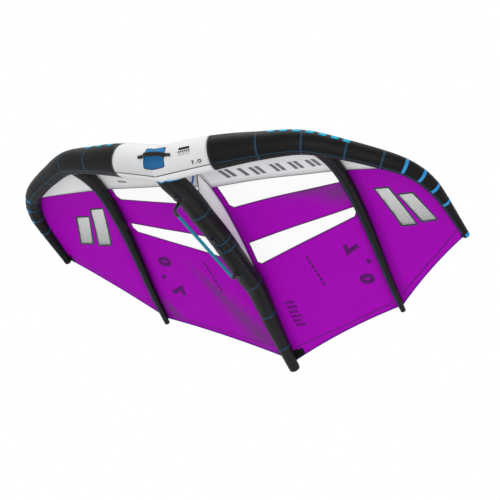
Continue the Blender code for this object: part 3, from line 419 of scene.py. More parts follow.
# %% Camera at the photograph's angle
CAMERA_AT = Vector((14.384, -14.359, -14.540))
CAMERA_BACK = Vector((0.553, -0.603, -0.575))
CAMERA_RIGHT = Vector((0.831, 0.445, 0.333))


def make_camera():
    back = CAMERA_BACK.normalized()
    up = back.cross(CAMERA_RIGHT).normalized()
    right = up.cross(back).normalized()
    data = bpy.data.cameras.new("camera")
    data.lens = 230.4
    data.sensor_width = 36.0
    data.clip_end = 200.0
    camera = bpy.data.objects.new("camera", data)
    turned = Matrix((right, up, back)).transposed().to_4x4()
    camera.matrix_world = Matrix.Translation(CAMERA_AT + NOSE_AT) @ turned
    bpy.context.scene.collection.objects.link(camera)
    bpy.context.scene.camera = camera
    return camera


CAMERA = make_camera()
print("camera", [round(v, 2) for v in CAMERA.matrix_world.translation], "lens", CAMERA.data.lens)

# %% [markdown]
# ## Small tools for materials
# A material is a tree of nodes. One helper adds a node and fills its sockets, small ones after it
# stand for the nodes that every finish needs, and one more makes an empty node group with named
# sockets. Weave, stitches, dots and grime are such groups, because many finishes use them at
# different sizes.

# %% Helpers that add nodes and groups
def feed(tree, inputs, values):
    """Gives each input its value: a socket is linked, a plain value is set."""
    for key, value in values.items():
        if isinstance(value, bpy.types.NodeSocket):
            tree.links.new(value, inputs[key])
        else:
            inputs[key].default_value = value


def add(tree, kind, inputs=None, **settings):
    item = tree.nodes.new("ShaderNode" + kind)
    for key, value in settings.items():
        setattr(item, key, value)
    feed(tree, item.inputs, inputs or {})
    return item


def math(tree, operation, *values):
    return add(tree, "Math", dict(enumerate(values)), operation=operation).outputs[0]


def mix(tree, factor, first, second):
    """From a first colour to a second; a plain colour may be any three numbers."""
    ends = [item if isinstance(item, bpy.types.NodeSocket) else (*item, 1.0) for item in (first, second)]
    return add(tree, "Mix", {"Factor": factor, 6: ends[0], 7: ends[1]}, data_type="RGBA").outputs[2]


def ramp(tree, value, start=0.0, end=1.0, low=0.0, high=1.0, kind="LINEAR"):
    """Maps start to low and end to high, and holds the value between them."""
    inputs = {"Value": value, "From Min": start, "From Max": end, "To Min": low, "To Max": high}
    return add(tree, "MapRange", inputs, interpolation_type=kind).outputs[0]


def own_place(tree):
    return add(tree, "TexCoord").outputs["Object"]


def cut_map(tree):
    """The cloth's flat coordinates in metres."""
    return add(tree, "UVMap", uv_map="cut").outputs[0]


def parts_of(tree, vector):
    return add(tree, "SeparateXYZ", {0: vector}).outputs


def off_middle(tree, value, middle=0.5):
    return math(tree, "ABSOLUTE", math(tree, "SUBTRACT", value, middle))


def cell_of(tree, value, pitch):
    """Distance from the middle of a repeated cell, as a share of the pitch."""
    return off_middle(tree, math(tree, "FRACT", math(tree, "DIVIDE", value, pitch)))


def new_group(name, inputs, outputs):
    tree = bpy.data.node_groups.new(name, "ShaderNodeTree")
    for label, kind, value in inputs:
        socket = tree.interface.new_socket(label, in_out="INPUT", socket_type="NodeSocket" + kind)
        if value is not None:
            socket.default_value = value
    for label, kind in outputs:
        tree.interface.new_socket(label, in_out="OUTPUT", socket_type="NodeSocket" + kind)
    start = tree.nodes.new("NodeGroupInput").outputs
    end = tree.nodes.new("NodeGroupOutput").inputs
    return tree, start, end


def use_group(tree, group, inputs):
    item = add(tree, "Group", node_tree=group)
    feed(tree, item.inputs, inputs)
    return item.outputs


print("node helpers ready")

# %% [markdown]
# ## Weave, stitches, dots and grime
# Sailcloth is a plain weave with a thicker thread every few millimetres, which makes the small
# squares called ripstop. A seam shows as two rows of short stitches. The prints fade out in a
# raster of dots. Handling leaves soft clouds of lighter and darker cloth.

# %% The four shared effects
def weave_group():
    """Height of a plain weave and a mask of the ripstop threads, from flat coordinates in metres."""
    inputs = [("Vector", "Vector", None), ("Thread", "Float", 0.0008), ("Ripstop", "Float", 0.006)]
    tree, start, end = new_group("weave", inputs, [("Height", "Float"), ("Ripstop", "Float")])
    flat = parts_of(tree, start["Vector"])
    waves, lines = [], []
    for axis in (0, 1):
        turns = math(tree, "DIVIDE", flat[axis], start["Thread"])
        waves.append(math(tree, "SINE", math(tree, "MULTIPLY", turns, 2 * pi)))
        lines.append(math(tree, "LESS_THAN", cell_of(tree, flat[axis], start["Ripstop"]), 0.07))
    basket = math(tree, "MULTIPLY", waves[0], waves[1])
    ripstop = math(tree, "MAXIMUM", lines[0], lines[1])
    tree.links.new(math(tree, "MULTIPLY_ADD", basket, 0.25, ripstop), end["Height"])
    tree.links.new(ripstop, end["Ripstop"])
    return tree


def stitch_group():
    """Mask of one row of stitches: Along runs with the seam, Across is the distance from the row."""
    inputs = [(label, "Float", value) for label, value in
              (("Along", 0.0), ("Across", 0.0), ("Pitch", 0.006), ("Width", 0.0008))]
    tree, start, end = new_group("stitches", inputs, [("Mask", "Float")])
    dash = math(tree, "LESS_THAN", cell_of(tree, start["Along"], start["Pitch"]), 0.34)
    near = math(tree, "LESS_THAN", math(tree, "ABSOLUTE", start["Across"]), start["Width"])
    tree.links.new(math(tree, "MULTIPLY", dash, near), end["Mask"])
    return tree


def dots_group():
    """Mask of round dots in a turned raster; Density from 0 to 1 sets their size."""
    inputs = [("Vector", "Vector", None), ("Pitch", "Float", 0.01), ("Density", "Float", 0.5)]
    tree, start, end = new_group("dots", inputs, [("Mask", "Float")])
    turned = add(tree, "Mapping", {"Vector": start["Vector"], "Rotation": (0, 0, radians(30))}).outputs[0]
    flat = parts_of(tree, turned)
    away = [math(tree, "POWER", cell_of(tree, flat[axis], start["Pitch"]), 2.0) for axis in (0, 1)]
    reach = math(tree, "SQRT", math(tree, "ADD", away[0], away[1]))
    size = math(tree, "MULTIPLY", start["Density"], 0.62)
    tree.links.new(math(tree, "LESS_THAN", reach, size), end["Mask"])
    return tree


def grime_group():
    """Soft clouds from 0 to 1 for colour and roughness."""
    inputs = [("Vector", "Vector", None), ("Scale", "Float", 4.0)]
    tree, start, end = new_group("grime", inputs, [("Cloud", "Float")])
    settings = {"Vector": start["Vector"], "Scale": start["Scale"], "Detail": 6.0, "Roughness": 0.6}
    noise = add(tree, "TexNoise", settings).outputs[0]
    tree.links.new(ramp(tree, noise, 0.3, 0.7), end["Cloud"])
    return tree


WEAVE, STITCHES, DOTS, GRIME = weave_group(), stitch_group(), dots_group(), grime_group()
print("groups", [group.name for group in (WEAVE, STITCHES, DOTS, GRIME)])

# %% [markdown]
# ## Cloth finishes
# All the cloth shares one recipe: a base colour, a little lighter along the ripstop threads, clouds
# of handling, a bump from the weave, and a low shine. Only the colours and sizes differ between the
# heavy sleeve cloth and the thin canopy cloth. The coordinates come from the pattern's own UV map,
# in metres, so the threads follow the cloth round the tubes. Three cloths get more colour from a
# small function: painted shade on the nose panel, painted highlight streaks on the struts, and
# painted shade beside the struts with a print of dots on the canopy.

# %% Cloth materials
def new_material(name, roughness, **sockets):
    material = bpy.data.materials.new(name)
    material.use_nodes = True
    tree = material.node_tree
    shader = tree.nodes["Principled BSDF"]
    shader.inputs["Roughness"].default_value = roughness
    for label, value in sockets.items():
        shader.inputs[label.replace("_", " ")].default_value = value
    return material, tree, shader


def dress(tree, shader, color, height, strength, distance=0.0004, rough=None):
    """Links a colour, a bump and perhaps a roughness to the shader."""
    relief = add(tree, "Bump", {"Height": height, "Strength": strength, "Distance": distance}).outputs[0]
    feed(tree, shader.inputs, {"Base Color": color, "Normal": relief})
    if rough is not None:
        feed(tree, shader.inputs, {"Roughness": rough})


def woven(tree, vector, thread=0.0006, ripstop=0.006):
    return use_group(tree, WEAVE, {"Vector": vector, "Thread": thread, "Ripstop": ripstop})


def clouds(tree, place, scale):
    return use_group(tree, GRIME, {"Vector": place, "Scale": scale})["Cloud"]


def cloth(name, color, light, dark, thread, ripstop, roughness, shine, bump=0.25, rip_share=0.35, finish=None):
    """Woven cloth; light and dark are the colours of its ripstop threads and of its clouds."""
    material, tree, shader = new_material(name, roughness, Specular_IOR_Level=shine)
    weave = woven(tree, cut_map(tree), thread, ripstop)
    cloud = clouds(tree, own_place(tree), 3.0)
    base = mix(tree, math(tree, "MULTIPLY", cloud, 0.5), color, dark)
    base = mix(tree, math(tree, "MULTIPLY", weave["Ripstop"], rip_share), base, light)
    if finish:
        base = finish(tree, base)
    rough = ramp(tree, cloud, low=roughness - 0.06, high=roughness + 0.08)
    dress(tree, shader, base, weave["Height"], bump, rough=rough)
    return material


print("recipe for woven cloth ready")


# %% Painted shade, painted highlights and prints on three of the cloths
def painted_seam_shade(tree, base):
    """Painted shade on the nose panel: a grey that deepens towards the long seam under the tube."""
    across = parts_of(tree, cut_map(tree))[1]
    deep = ramp(tree, across, 0.01, -0.17, kind="SMOOTHSTEP")
    below = math(tree, "GREATER_THAN", across, -0.1802)
    share = math(tree, "MULTIPLY", math(tree, "MULTIPLY", deep, below), 0.42)
    # painted shade: the white is mixed to grey just above the long seam, where the tube's underside turns from the
    # light
    return mix(tree, share, base, (0.42, 0.43, 0.45))


STREAK_PITCH = (24.0, 0.8)


def painted_highlight_streaks(tree, base):
    """Painted highlight streaks that run along a sleeve, in lighter and darker black."""
    drawn = add(tree, "VectorMath", {0: cut_map(tree), 1: (*STREAK_PITCH, 0.0)}, operation="MULTIPLY").outputs[0]
    noise = add(tree, "TexNoise", {"Vector": drawn, "Scale": 1.0, "Detail": 1.0}).outputs[0]
    pale = ramp(tree, noise, 0.5, 0.62, kind="SMOOTHSTEP")
    # painted highlight: lengthwise streaks of a lighter black stand for sheen along the strut
    return mix(tree, math(tree, "MULTIPLY", pale, 0.8), base, (0.017, 0.0168, 0.0175))


DOT_FIELDS = (
    (0.78, 0.52, 2, 0.6, 0.13), (1.0, 0.58, 0, 0.34, 0.2), (-0.47, 1.44, 56, 0.56, 0.1),
    (-0.34, 1.64, 56, 0.5, 0.18), (-0.24, 1.8, 56, 0.36, 0.24), (-1.05, 1.6, 60, 0.22, 0.1),
)


def dot_field(tree, place, x, y, turn, long, wide):
    """1 in the middle of a turned oval, 0 at its edge."""
    inputs = {"Vector": place, "Location": (x, y, 0), "Rotation": (0, 0, radians(turn)), "Scale": (long, wide, 0)}
    spot = add(tree, "Mapping", inputs, vector_type="TEXTURE").outputs[0]
    return math(tree, "SUBTRACT", 1.0, add(tree, "VectorMath", {0: spot}, operation="LENGTH").outputs["Value"])


def canopy_print_and_painted_shade(tree, base):
    """Painted shade beside the struts, and printed dot rasters that fade out across the canopy."""
    place = own_place(tree)
    away = math(tree, "ABSOLUTE", parts_of(tree, place)[0])
    beside = math(tree, "MINIMUM", off_middle(tree, away, SIDE_X), away)
    near = ramp(tree, beside, 0.13, 0.05, kind="SMOOTHSTEP")
    # painted shade: the purple darkens within 5 to 13 cm of each strut's line, where shadow falls beside the
    # struts
    base = mix(tree, math(tree, "MULTIPLY", near, 0.4), base, (0.16, 0.0008, 0.21))
    density = dot_field(tree, place, *DOT_FIELDS[0])
    for field in DOT_FIELDS[1:]:
        density = math(tree, "MAXIMUM", density, dot_field(tree, place, *field))
    dots = use_group(tree, DOTS, {"Vector": place, "Pitch": 0.018, "Density": density})["Mask"]
    held = math(tree, "MULTIPLY", dots, math(tree, "GREATER_THAN", density, 0.02))
    return mix(tree, math(tree, "MULTIPLY", held, 0.8), base, (0.13, 0.04, 0.16))


print("dot fields on the canopy:", len(DOT_FIELDS))


# %% The six cloths
HEAVY, LIGHT = (0.0012, 0.008), (0.0006, 0.006)
SLEEVE_BLACK = cloth("sleeve_black_cloth", (0.005, 0.005, 0.0055), (0.011, 0.011, 0.012),
                     (0.0032, 0.0032, 0.0036), *HEAVY, 0.5, 0.11)
STRUT_BLACK = cloth("strut_black_cloth", (0.0055, 0.0053, 0.006), (0.012, 0.012, 0.013),
                    (0.0042, 0.0042, 0.0046), *HEAVY, 0.5, 0.15, finish=painted_highlight_streaks)
SLEEVE_WHITE = cloth("sleeve_white_cloth", (0.88, 0.885, 0.89), (0.91, 0.91, 0.92),
                     (0.84, 0.845, 0.855), *HEAVY, 0.55, 0.2, finish=painted_seam_shade)
PURPLE = cloth("canopy_purple_cloth", (0.385, 0.0016, 0.48), (0.43, 0.006, 0.53),
               (0.355, 0.001, 0.45), *LIGHT, 0.6, 0.06, finish=canopy_print_and_painted_shade)
PATCH_BLACK = cloth("patch_black_cloth", (0.0035, 0.0035, 0.004), (0.02, 0.02, 0.022),
                    (0.002, 0.002, 0.0025), *HEAVY, 0.6, 0.08)
STRIP_WHITE = cloth("canopy_white_cloth", (0.87, 0.875, 0.885), (0.9, 0.9, 0.91),
                    (0.83, 0.835, 0.85), *LIGHT, 0.55, 0.2)
print("cloths", [m.name for m in (SLEEVE_BLACK, SLEEVE_WHITE, PURPLE, STRIP_WHITE)])

# %% [markdown]
# ## Tape, webbing and thread
# A seam is covered with tape that is sewn along both edges. On the tape's own map the first
# number runs along it and the second is the distance from its middle, so a row of stitches is a
# line at a fixed distance, broken into dashes.

# %% Tape and webbing materials
def tape(name, color, thread, row, pitch=0.012, roughness=0.55):
    """Sewn tape: row is how far its two rows of stitches lie from the middle."""
    material, tree, shader = new_material(name, roughness, Specular_IOR_Level=0.2)
    along, across, _ = parts_of(tree, cut_map(tree))
    from_row = math(tree, "SUBTRACT", math(tree, "ABSOLUTE", across), row)
    inputs = {"Along": along, "Across": from_row, "Pitch": pitch, "Width": 0.0009}
    sewn = use_group(tree, STITCHES, inputs)["Mask"]
    ribs = math(tree, "SINE", math(tree, "MULTIPLY", along, 2 * pi / 0.0016))
    shade = math(tree, "MULTIPLY_ADD", ribs, 0.12, 0.12)
    base = mix(tree, shade, color, [share * 0.6 for share in color])
    height = math(tree, "MULTIPLY_ADD", ribs, 0.2, math(tree, "MULTIPLY", sewn, 2.0))
    dress(tree, shader, mix(tree, sewn, base, thread), height, 0.5)
    return material


TAPE_DARK = tape("seam_tape_dark", (0.0095, 0.04, 0.075), (0.02, 0.09, 0.16), 0.006)
TAPE_BLUE = tape("seam_tape_blue", (0.023, 0.283, 0.68), (0.1, 0.45, 0.8), 0.0075)
TAPE_GREY = tape("seam_tape_grey", (0.05, 0.057, 0.068), (0.2, 0.22, 0.24), 0.003)
TAPE_LINE = tape("window_line", (0.014, 0.008, 0.03), (0.1, 0.05, 0.14), 0.002)
TAPE_PALE = tape("pale_stitch_line", (0.62, 0.63, 0.65), (0.3, 0.31, 0.33), 0.0, 0.024)
TAPE_BLACK = tape("seam_tape_black", (0.02, 0.021, 0.024), (0.08, 0.08, 0.09), 0.009)
TAPE_PURPLE = tape("seam_tape_purple", (0.12, 0.0006, 0.17), (0.05, 0.0, 0.08), 0.003)
TAPE_INDIGO = tape("edge_tape_indigo", (0.038, 0.007, 0.262), (0.1, 0.05, 0.4), 0.002)
WEBBING = tape("black_webbing", (0.012, 0.012, 0.013), (0.05, 0.05, 0.055), 0.011)
print("tapes ready")

# %% [markdown]
# ## Film, foam, plastic, metal and line
# The windows are a clear film with a fine scrim in it. The grip pad is a knitted cover over foam,
# with painted light that makes it brighter above the strap than below it, and painted shade in the
# knit's hollows. Moulded parts have a faint grain, the hose is smooth silicone, and the harness line
# has a braided cover with painted shade in its grooves.

# %% Window film
def window_film():
    material, tree, shader = new_material("window_film_clear", 0.12, IOR=1.45)
    place = own_place(tree)
    scrim = woven(tree, place, 0.004, 0.012)["Ripstop"]
    cloud = clouds(tree, place, 2.0)
    alpha = math(tree, "MULTIPLY_ADD", scrim, 0.05, ramp(tree, cloud, low=0.06, high=0.1))
    feed(tree, shader.inputs, {"Base Color": (0.97, 0.975, 0.98, 1.0), "Alpha": alpha,
                               "Roughness": ramp(tree, cloud, low=0.08, high=0.2)})
    return material


FILM = window_film()
print("film", FILM.name)


# %% The web's cloth, white at its front, with a painted purple tint at its thin tip for the canopy's colour showing through
def web_cloth():
    material, tree, shader = new_material("web_cloth", 0.55, Specular_IOR_Level=0.15)
    flat = cut_map(tree)
    weave = woven(tree, flat)
    painted_show_through = ramp(tree, parts_of(tree, flat)[0], 0.5, 1.0)
    # painted light: the purple-grey towards the rear tip stands for the canopy's colour shining through the thin
    # cloth
    base = mix(tree, painted_show_through, (0.97, 0.975, 0.98), (0.84, 0.8, 0.87))
    base = mix(tree, math(tree, "MULTIPLY", weave["Ripstop"], 0.25), base, (0.9, 0.9, 0.92))
    dress(tree, shader, base, weave["Height"], 0.2)
    return material


WEB_CLOTH = web_cloth()
print("web", WEB_CLOTH.name)


# %% The grip pad's knitted cover
def pad_cover():
    material, tree, shader = new_material("pad_cover", 0.7, Specular_IOR_Level=0.2)
    place = own_place(tree)
    painted_light_above = ramp(tree, parts_of(tree, place)[2], 0.05, 0.075)
    # painted light: the half above the strap is a brighter blue, as lit from above; the lower half keeps the
    # darker blue
    base = mix(tree, painted_light_above, (0.018, 0.15, 0.37), (0.022, 0.31, 0.74))
    cells = add(tree, "TexVoronoi", {"Vector": place, "Scale": 320.0})
    knit = math(tree, "SUBTRACT", 1.0, cells.outputs["Distance"])
    # painted shade: the cover darkens towards the edges of the knit's cells, where the knit dips
    base = mix(tree, math(tree, "MULTIPLY", cells.outputs["Distance"], 0.5), base, (0.01, 0.08, 0.2))
    dress(tree, shader, base, knit, 0.4, 0.0006)
    return material


PAD_COVER = pad_cover()
print("pad", PAD_COVER.name)


# %% Moulded plastic, silicone, steel and bladder film
def moulded(name, color, roughness, grain=900.0, bump=0.15, **sockets):
    """Plastic or metal with a fine grain, paler where handling has rubbed it."""
    material, tree, shader = new_material(name, roughness, **sockets)
    place = own_place(tree)
    cloud = clouds(tree, place, 60.0)
    pale = [share + (1.0 - share) * 0.08 for share in color]
    base = mix(tree, math(tree, "MULTIPLY", cloud, 0.35), color, pale)
    fine = add(tree, "TexNoise", {"Vector": place, "Scale": grain, "Detail": 2.0}).outputs[0]
    rough = ramp(tree, cloud, low=roughness - 0.05, high=roughness + 0.1)
    dress(tree, shader, base, fine, bump, 0.0003, rough)
    return material


PLASTIC_BLACK = moulded("moulded_black", (0.008, 0.008, 0.009), 0.42, Specular_IOR_Level=0.3)
PLASTIC_BLUE = moulded("moulded_blue", (0.02, 0.2, 0.6), 0.38)
HOSE = moulded("silicone_hose", (0.03, 0.12, 0.5), 0.3, 120.0, 0.05)
STEEL = moulded("stainless_steel", (0.55, 0.55, 0.57), 0.28, 2000.0, 0.1, Metallic=1.0)
BLADDER = moulded("bladder_film_clear", (0.5, 0.5, 0.53), 0.35, 200.0, 0.1)
print("moulded", [item.name for item in (PLASTIC_BLACK, PLASTIC_BLUE, HOSE, STEEL, BLADDER)])


# %% The harness line's braided cover
def braid():
    material, tree, shader = new_material("braided_line", 0.5, Specular_IOR_Level=0.2)
    along, across, _ = parts_of(tree, cut_map(tree))
    left, right = (math(tree, "SINE", math(tree, "MULTIPLY", math(tree, way, along, across), 2 * pi / 0.006))
                   for way in ("ADD", "SUBTRACT"))
    height = math(tree, "MAXIMUM", left, right)
    shade = math(tree, "MULTIPLY_ADD", height, -0.25, 0.25)
    # painted shade: the cover is mixed to a darker teal in the grooves between the strands
    dress(tree, shader, mix(tree, shade, (0.006, 0.24, 0.34), (0.003, 0.11, 0.17)), height, 0.35, 0.0005)
    return material


BRAID = braid()
print("cover", BRAID.name)

# %% [markdown]
# ## Prints
# The prints are inks on cloth: a silver with a raster of dots that thins out, dark outlines, a
# dark purple size number and soft grey blocks on the canopy, and cyan bars and black lines on the
# leading edge. Each is a plain shape in one ink, which keeps the weave of the cloth under it.

# %% Ink materials
def ink(name, color, second, pitch=0.012, slope=(0.0, 1.0), reach=(0.0, 1.0), roughness=0.5, shine=0.1):
    """Ink with a raster of a second colour, which grows along a slope of the piece's own place."""
    material, tree, shader = new_material(name, roughness, Specular_IOR_Level=shine)
    place = own_place(tree)
    x, y, _ = parts_of(tree, place)
    run = math(tree, "ADD", math(tree, "MULTIPLY", math(tree, "ABSOLUTE", x), slope[0]),
               math(tree, "MULTIPLY", y, slope[1]))
    inputs = {"Vector": place, "Pitch": pitch, "Density": ramp(tree, run, *reach)}
    base = mix(tree, use_group(tree, DOTS, inputs)["Mask"], color, second)
    weave = woven(tree, place)
    pale = [min(share + 0.1, 1.0) for share in color]
    base = mix(tree, math(tree, "MULTIPLY", weave["Ripstop"], 0.12), base, pale)
    dress(tree, shader, base, weave["Height"], 0.15)
    return material


SILVER = ink("silver_ink", (0.7, 0.71, 0.7), (0.26, 0.27, 0.27), 0.015, (0.0, 1.0), (0.45, 1.1), shine=0.4)
OUTLINE = ink("outline_ink", (0.018, 0.045, 0.042), (0.03, 0.06, 0.06))
DARK_PURPLE = ink("dark_purple_ink", (0.085, 0.001, 0.12), (0.1, 0.002, 0.14))
GREY_INK = ink("grey_ink", (0.17, 0.18, 0.195), (0.22, 0.23, 0.24), 0.01, (1.0, 0.0), (0.2, 1.2))
BLACK_INK = ink("black_ink", (0.02, 0.02, 0.022), (0.03, 0.03, 0.03))
CYAN_INK = ink("cyan_ink", (0.012, 0.46, 0.72), (0.02, 0.5, 0.75))
print("inks ready")

# %% [markdown]
# ## Making a piece
# Every soft piece starts as a flat grid. Its corners are given a place by a small function, and
# its map keeps the flat sizes in metres. A tube is such a grid whose two long edges are merged.
# Solidify gives the cloth its thickness at the end.

# %% Helpers that make pieces
TAPE_WALL, TAPE_LIFT, BLADDER_WALL = 0.0008, 0.0012, 0.0003


def closed_up(form, merge=True):
    """Merges corners that lie on each other and turns the faces one way."""
    if merge:
        bmesh.ops.remove_doubles(form, verts=form.verts, dist=1e-6)
    bmesh.ops.recalc_face_normals(form, faces=form.faces)
    return form


def cloth_grid(across, along, place, wrap=False):
    """A grid whose corners go where place(a, b) says; a and b run from 0 to 1."""
    form = bmesh.new()
    bmesh.ops.create_grid(form, x_segments=across, y_segments=along, size=0.5)
    layer = form.loops.layers.uv.new("cut")
    spots = {vert: place(vert.co.x + 0.5, vert.co.y + 0.5) for vert in form.verts}
    for face in form.faces:
        for loop in face.loops:
            loop[layer].uv = spots[loop.vert][1]
    for vert in form.verts:
        vert.co = spots[vert][0]
    return closed_up(form, wrap)


def join(forms):
    """Several bmeshes as one."""
    whole = bmesh.new()
    whole.loops.layers.uv.new("cut")
    for form in forms:
        mesh = bpy.data.meshes.new("part")
        form.to_mesh(mesh)
        form.free()
        whole.from_mesh(mesh)
        bpy.data.meshes.remove(mesh)
    return whole


def piece(name, form, material, body="wing", stands_for=(), wall=0.0, offset=0.0, angle=50):
    """Turns a bmesh into a finished object that rides on a body."""
    mesh = bpy.data.meshes.new(name)
    form.to_mesh(mesh)
    form.free()
    mesh.materials.append(material)
    mesh.shade_smooth()
    mesh.set_sharp_from_angle(angle=radians(angle))
    item = bpy.data.objects.new(name, mesh)
    bpy.context.scene.collection.objects.link(item)
    if wall:
        solidify = item.modifiers.new("wall", "SOLIDIFY")
        solidify.thickness = wall
        solidify.offset = offset
    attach(item, body)
    if stands_for:
        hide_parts(*stands_for)
    return item


def strips(name, forms, material, wall=TAPE_WALL):
    """Several strips or marks as one piece."""
    return piece(name, join(forms), material, wall=wall)


def at_nose(point):
    return Vector(point) + NOSE_AT


def on_side(point, side):
    """A point of the right half in its final place, on either side."""
    return at_nose((side * point.x, point.y, point.z))


def bell(away):
    """1 in its middle, falling off to nothing at about twice its width."""
    return 2.718 ** (-away * away)


def straight(start, end, low, high, count):
    return [start.lerp(end, share) for share in even(low, high, count)]


print("walls: tape", TAPE_WALL, "m, bladder", BLADDER_WALL, "m")


def tree_of(items):
    """The faces of some pieces, ready to be searched for the nearest place or hit by rays."""
    forms = []
    for item in items:
        forms.append(bmesh.new())
        forms[-1].from_mesh(item.data)
    whole = join(forms)
    tree = BVHTree.FromBMesh(whole)
    whole.free()
    return tree


def tube_along(points, radius, sides=16, capped=True):
    """A round tube along a list of points; radius may be one number or a function of the share along."""
    size = radius if callable(radius) else (lambda share: radius)
    count = len(points) - 1
    runs = [(points[min(index + 1, count)] - points[max(index - 1, 0)]).normalized() for index in range(count + 1)]
    frames = []
    side = runs[0].cross(Vector((0.31, 0.2, 0.93))).normalized()
    for run in runs:
        side = (side - run * side.dot(run)).normalized()
        frames.append((side, run.cross(side)))
    lengths = [0.0]
    for a, b in zip(points[:-1], points[1:]):
        lengths.append(lengths[-1] + (b - a).length)

    def place(a, b):
        index = round(b * count)
        turn = 2 * pi * a
        reach = size(index / count)
        first, second = frames[index]
        spot = points[index] + (first * cos(turn) + second * sin(turn)) * reach
        return spot, (lengths[index], turn * reach)
    form = cloth_grid(sides, count, place, True)
    if capped:
        bmesh.ops.holes_fill(form, edges=[edge for edge in form.edges if edge.is_boundary], sides=0)
        closed_up(form, False)
    return form


print("piece helpers ready")

# %% [markdown]
# ## Leading edge
# The real tube is sewn from short cloth panels. Air pressure makes it round, but each ring seam
# holds it in a little, and small puckers run out from the seams, most on the inside of the bend.
# The sleeve is laid round the tube's path with those puckers in its surface.

# %% The three sleeves of the leading edge
TUBE_TOTAL = NOSE_LENGTHS[-1] - TIP_CAP_LENGTH
CENTRE_SEAM = SEAMS[0] - 0.012
SEAM_REACH, PUCKER_REACH = 0.014, 0.05
EDGE_DEPTHS, STRUT_DEPTHS = (0.0016, 0.0009), (0.0013, 0.0006)
EDGE_MAP_RADIUS, STRUT_MAP_RADIUS = 0.12, 0.09


def pucker(length, angle):
    """How far the cloth is drawn in near the ring seams, in metres."""
    drawn = 0.0
    inner = 0.5 - 0.5 * cos(angle)
    for index, seam in enumerate([CENTRE_SEAM] + SEAMS[1:]):
        drawn -= EDGE_DEPTHS[0] * bell((length - seam) / SEAM_REACH)
        drawn += EDGE_DEPTHS[1] * inner * sin(angle * 17 + index * 2.1) * bell((length - seam) / PUCKER_REACH)
    return drawn


def sleeve_point(length, angle, lift, side):
    return at_nose(edge_point(length, angle, lift + pucker(length, angle), side))


def round_the_edge(low, high, side=0, lift=0.0):
    """Places round the tube from one length to another; without a side they run across the nose."""
    def place(a, b):
        along = low + (high - low) * b
        hand = side or (1 if along >= 0 else -1)
        angle = 2 * pi * a - pi / 2
        return sleeve_point(abs(along), angle, lift, hand), (along, angle * EDGE_MAP_RADIUS)
    return place


def build_sleeve(name, material, start, end, side, steps):
    low, high = (start, end) if side else (-end, end)
    form = cloth_grid(72, steps, round_the_edge(low, high, side), True)
    item = piece(name + "_cloth", form, material, stands_for=[name], wall=WALL, offset=-1.0)
    return item


CENTRE_SLEEVE = build_sleeve("le_sleeve_center", SLEEVE_WHITE, 0.0, CENTRE_SEAM, 0, 64)
SLEEVES = [build_sleeve("le_sleeve_" + label, SLEEVE_BLACK, CENTRE_SEAM + FIT, TUBE_TOTAL, side, 230)
           for side, label in SIDES]

# %% The bladder inside the leading edge
BLADDER_GAP = 0.005
inner = cloth_grid(36, 200, round_the_edge(-TUBE_TOTAL, TUBE_TOTAL, lift=-BLADDER_GAP), True)
piece("le_bladder_film", inner, BLADDER, stands_for=["le_bladder"], wall=BLADDER_WALL, offset=-1.0)
print("bladder", BLADDER_GAP, "m inside the sleeves")

# %% [markdown]
# ## Seam tapes on the leading edge
# Each ring seam and the long seam under the tube are covered with narrow tape. Outboard, four
# seams carry a broad bright tape over the front and top and end at the long seam. Each tape is a
# narrow strip of the sleeve's own surface, lifted by its thickness, so it follows every pucker.

# %% Tapes round and along the tube
LONG_SEAM, BAND_END = radians(-86), radians(150)
RING_WIDTH, BAND_WIDTH, LONG_WIDTH, NOSE_LONG_WIDTH = 0.016, 0.026, 0.008, 0.009
LONG_LIFT, COLLAR_LIFT, BAND_LIFT = 0.0016, 0.002, 0.0022


def edge_strip(length0, length1, angle0, angle1, width, side, lift=TAPE_LIFT, steps=48):
    """A tape on the leading edge from one place to another, along the tube or round it."""
    def place(a, b):
        length = length0 + (length1 - length0) * b
        angle = angle0 + (angle1 - angle0) * b
        off = (a - 0.5) * width
        radius = at_measure(NOSE_PATH, NOSE_LENGTHS, length)[1]
        if abs(angle1 - angle0) > 0.01:
            return sleeve_point(length + off, angle, lift, side), (b * abs(angle1 - angle0) * radius, off)
        return sleeve_point(length, angle + off / radius, lift, side), (b * abs(length1 - length0), off)
    return cloth_grid(4, steps, place)


def round_tape(length, width, side, angle0=-pi / 2, angle1=3 * pi / 2, lift=TAPE_LIFT):
    return edge_strip(length, length, angle0, angle1, width, side, lift, 96)


for side, label in SIDES:
    tapes = [round_tape(seam, RING_WIDTH, side) for seam in SEAMS[1:]]
    start, end = CENTRE_SEAM + 0.012, TUBE_TOTAL - 0.01
    tapes.append(edge_strip(start, end, LONG_SEAM, LONG_SEAM, LONG_WIDTH, side, LONG_LIFT, 200))
    strips("edge_seam_tapes_" + label, tapes, TAPE_DARK)
    wide = [round_tape(seam, BAND_WIDTH, side, LONG_SEAM, BAND_END, BAND_LIFT) for seam in SEAMS[5:]]
    strips("edge_bright_bands_" + label, wide, TAPE_BLUE)
    collar = round_tape(CENTRE_SEAM, RING_WIDTH, side, lift=COLLAR_LIFT)
    strips("edge_collar_" + label, [collar], TAPE_BLACK, wall=0.001)
    end = CENTRE_SEAM - RING_WIDTH / 2
    long = edge_strip(0.001, end, LONG_SEAM, LONG_SEAM, NOSE_LONG_WIDTH, side, TAPE_LIFT, 60)
    strips("nose_long_seam_" + label, [long], TAPE_GREY)
piece("nose_ring_seam", round_tape(0.0, 0.006, 1), STRIP_WHITE, wall=TAPE_WALL)
print("ring seams on the leading edge:", 2 * len(SEAMS) + 1)

# %% [markdown]
# ## Bright tip caps
# The tube's ends are closed by moulded-looking caps of bright cloth. A cap is a short tube whose
# radius runs out in a quarter circle.

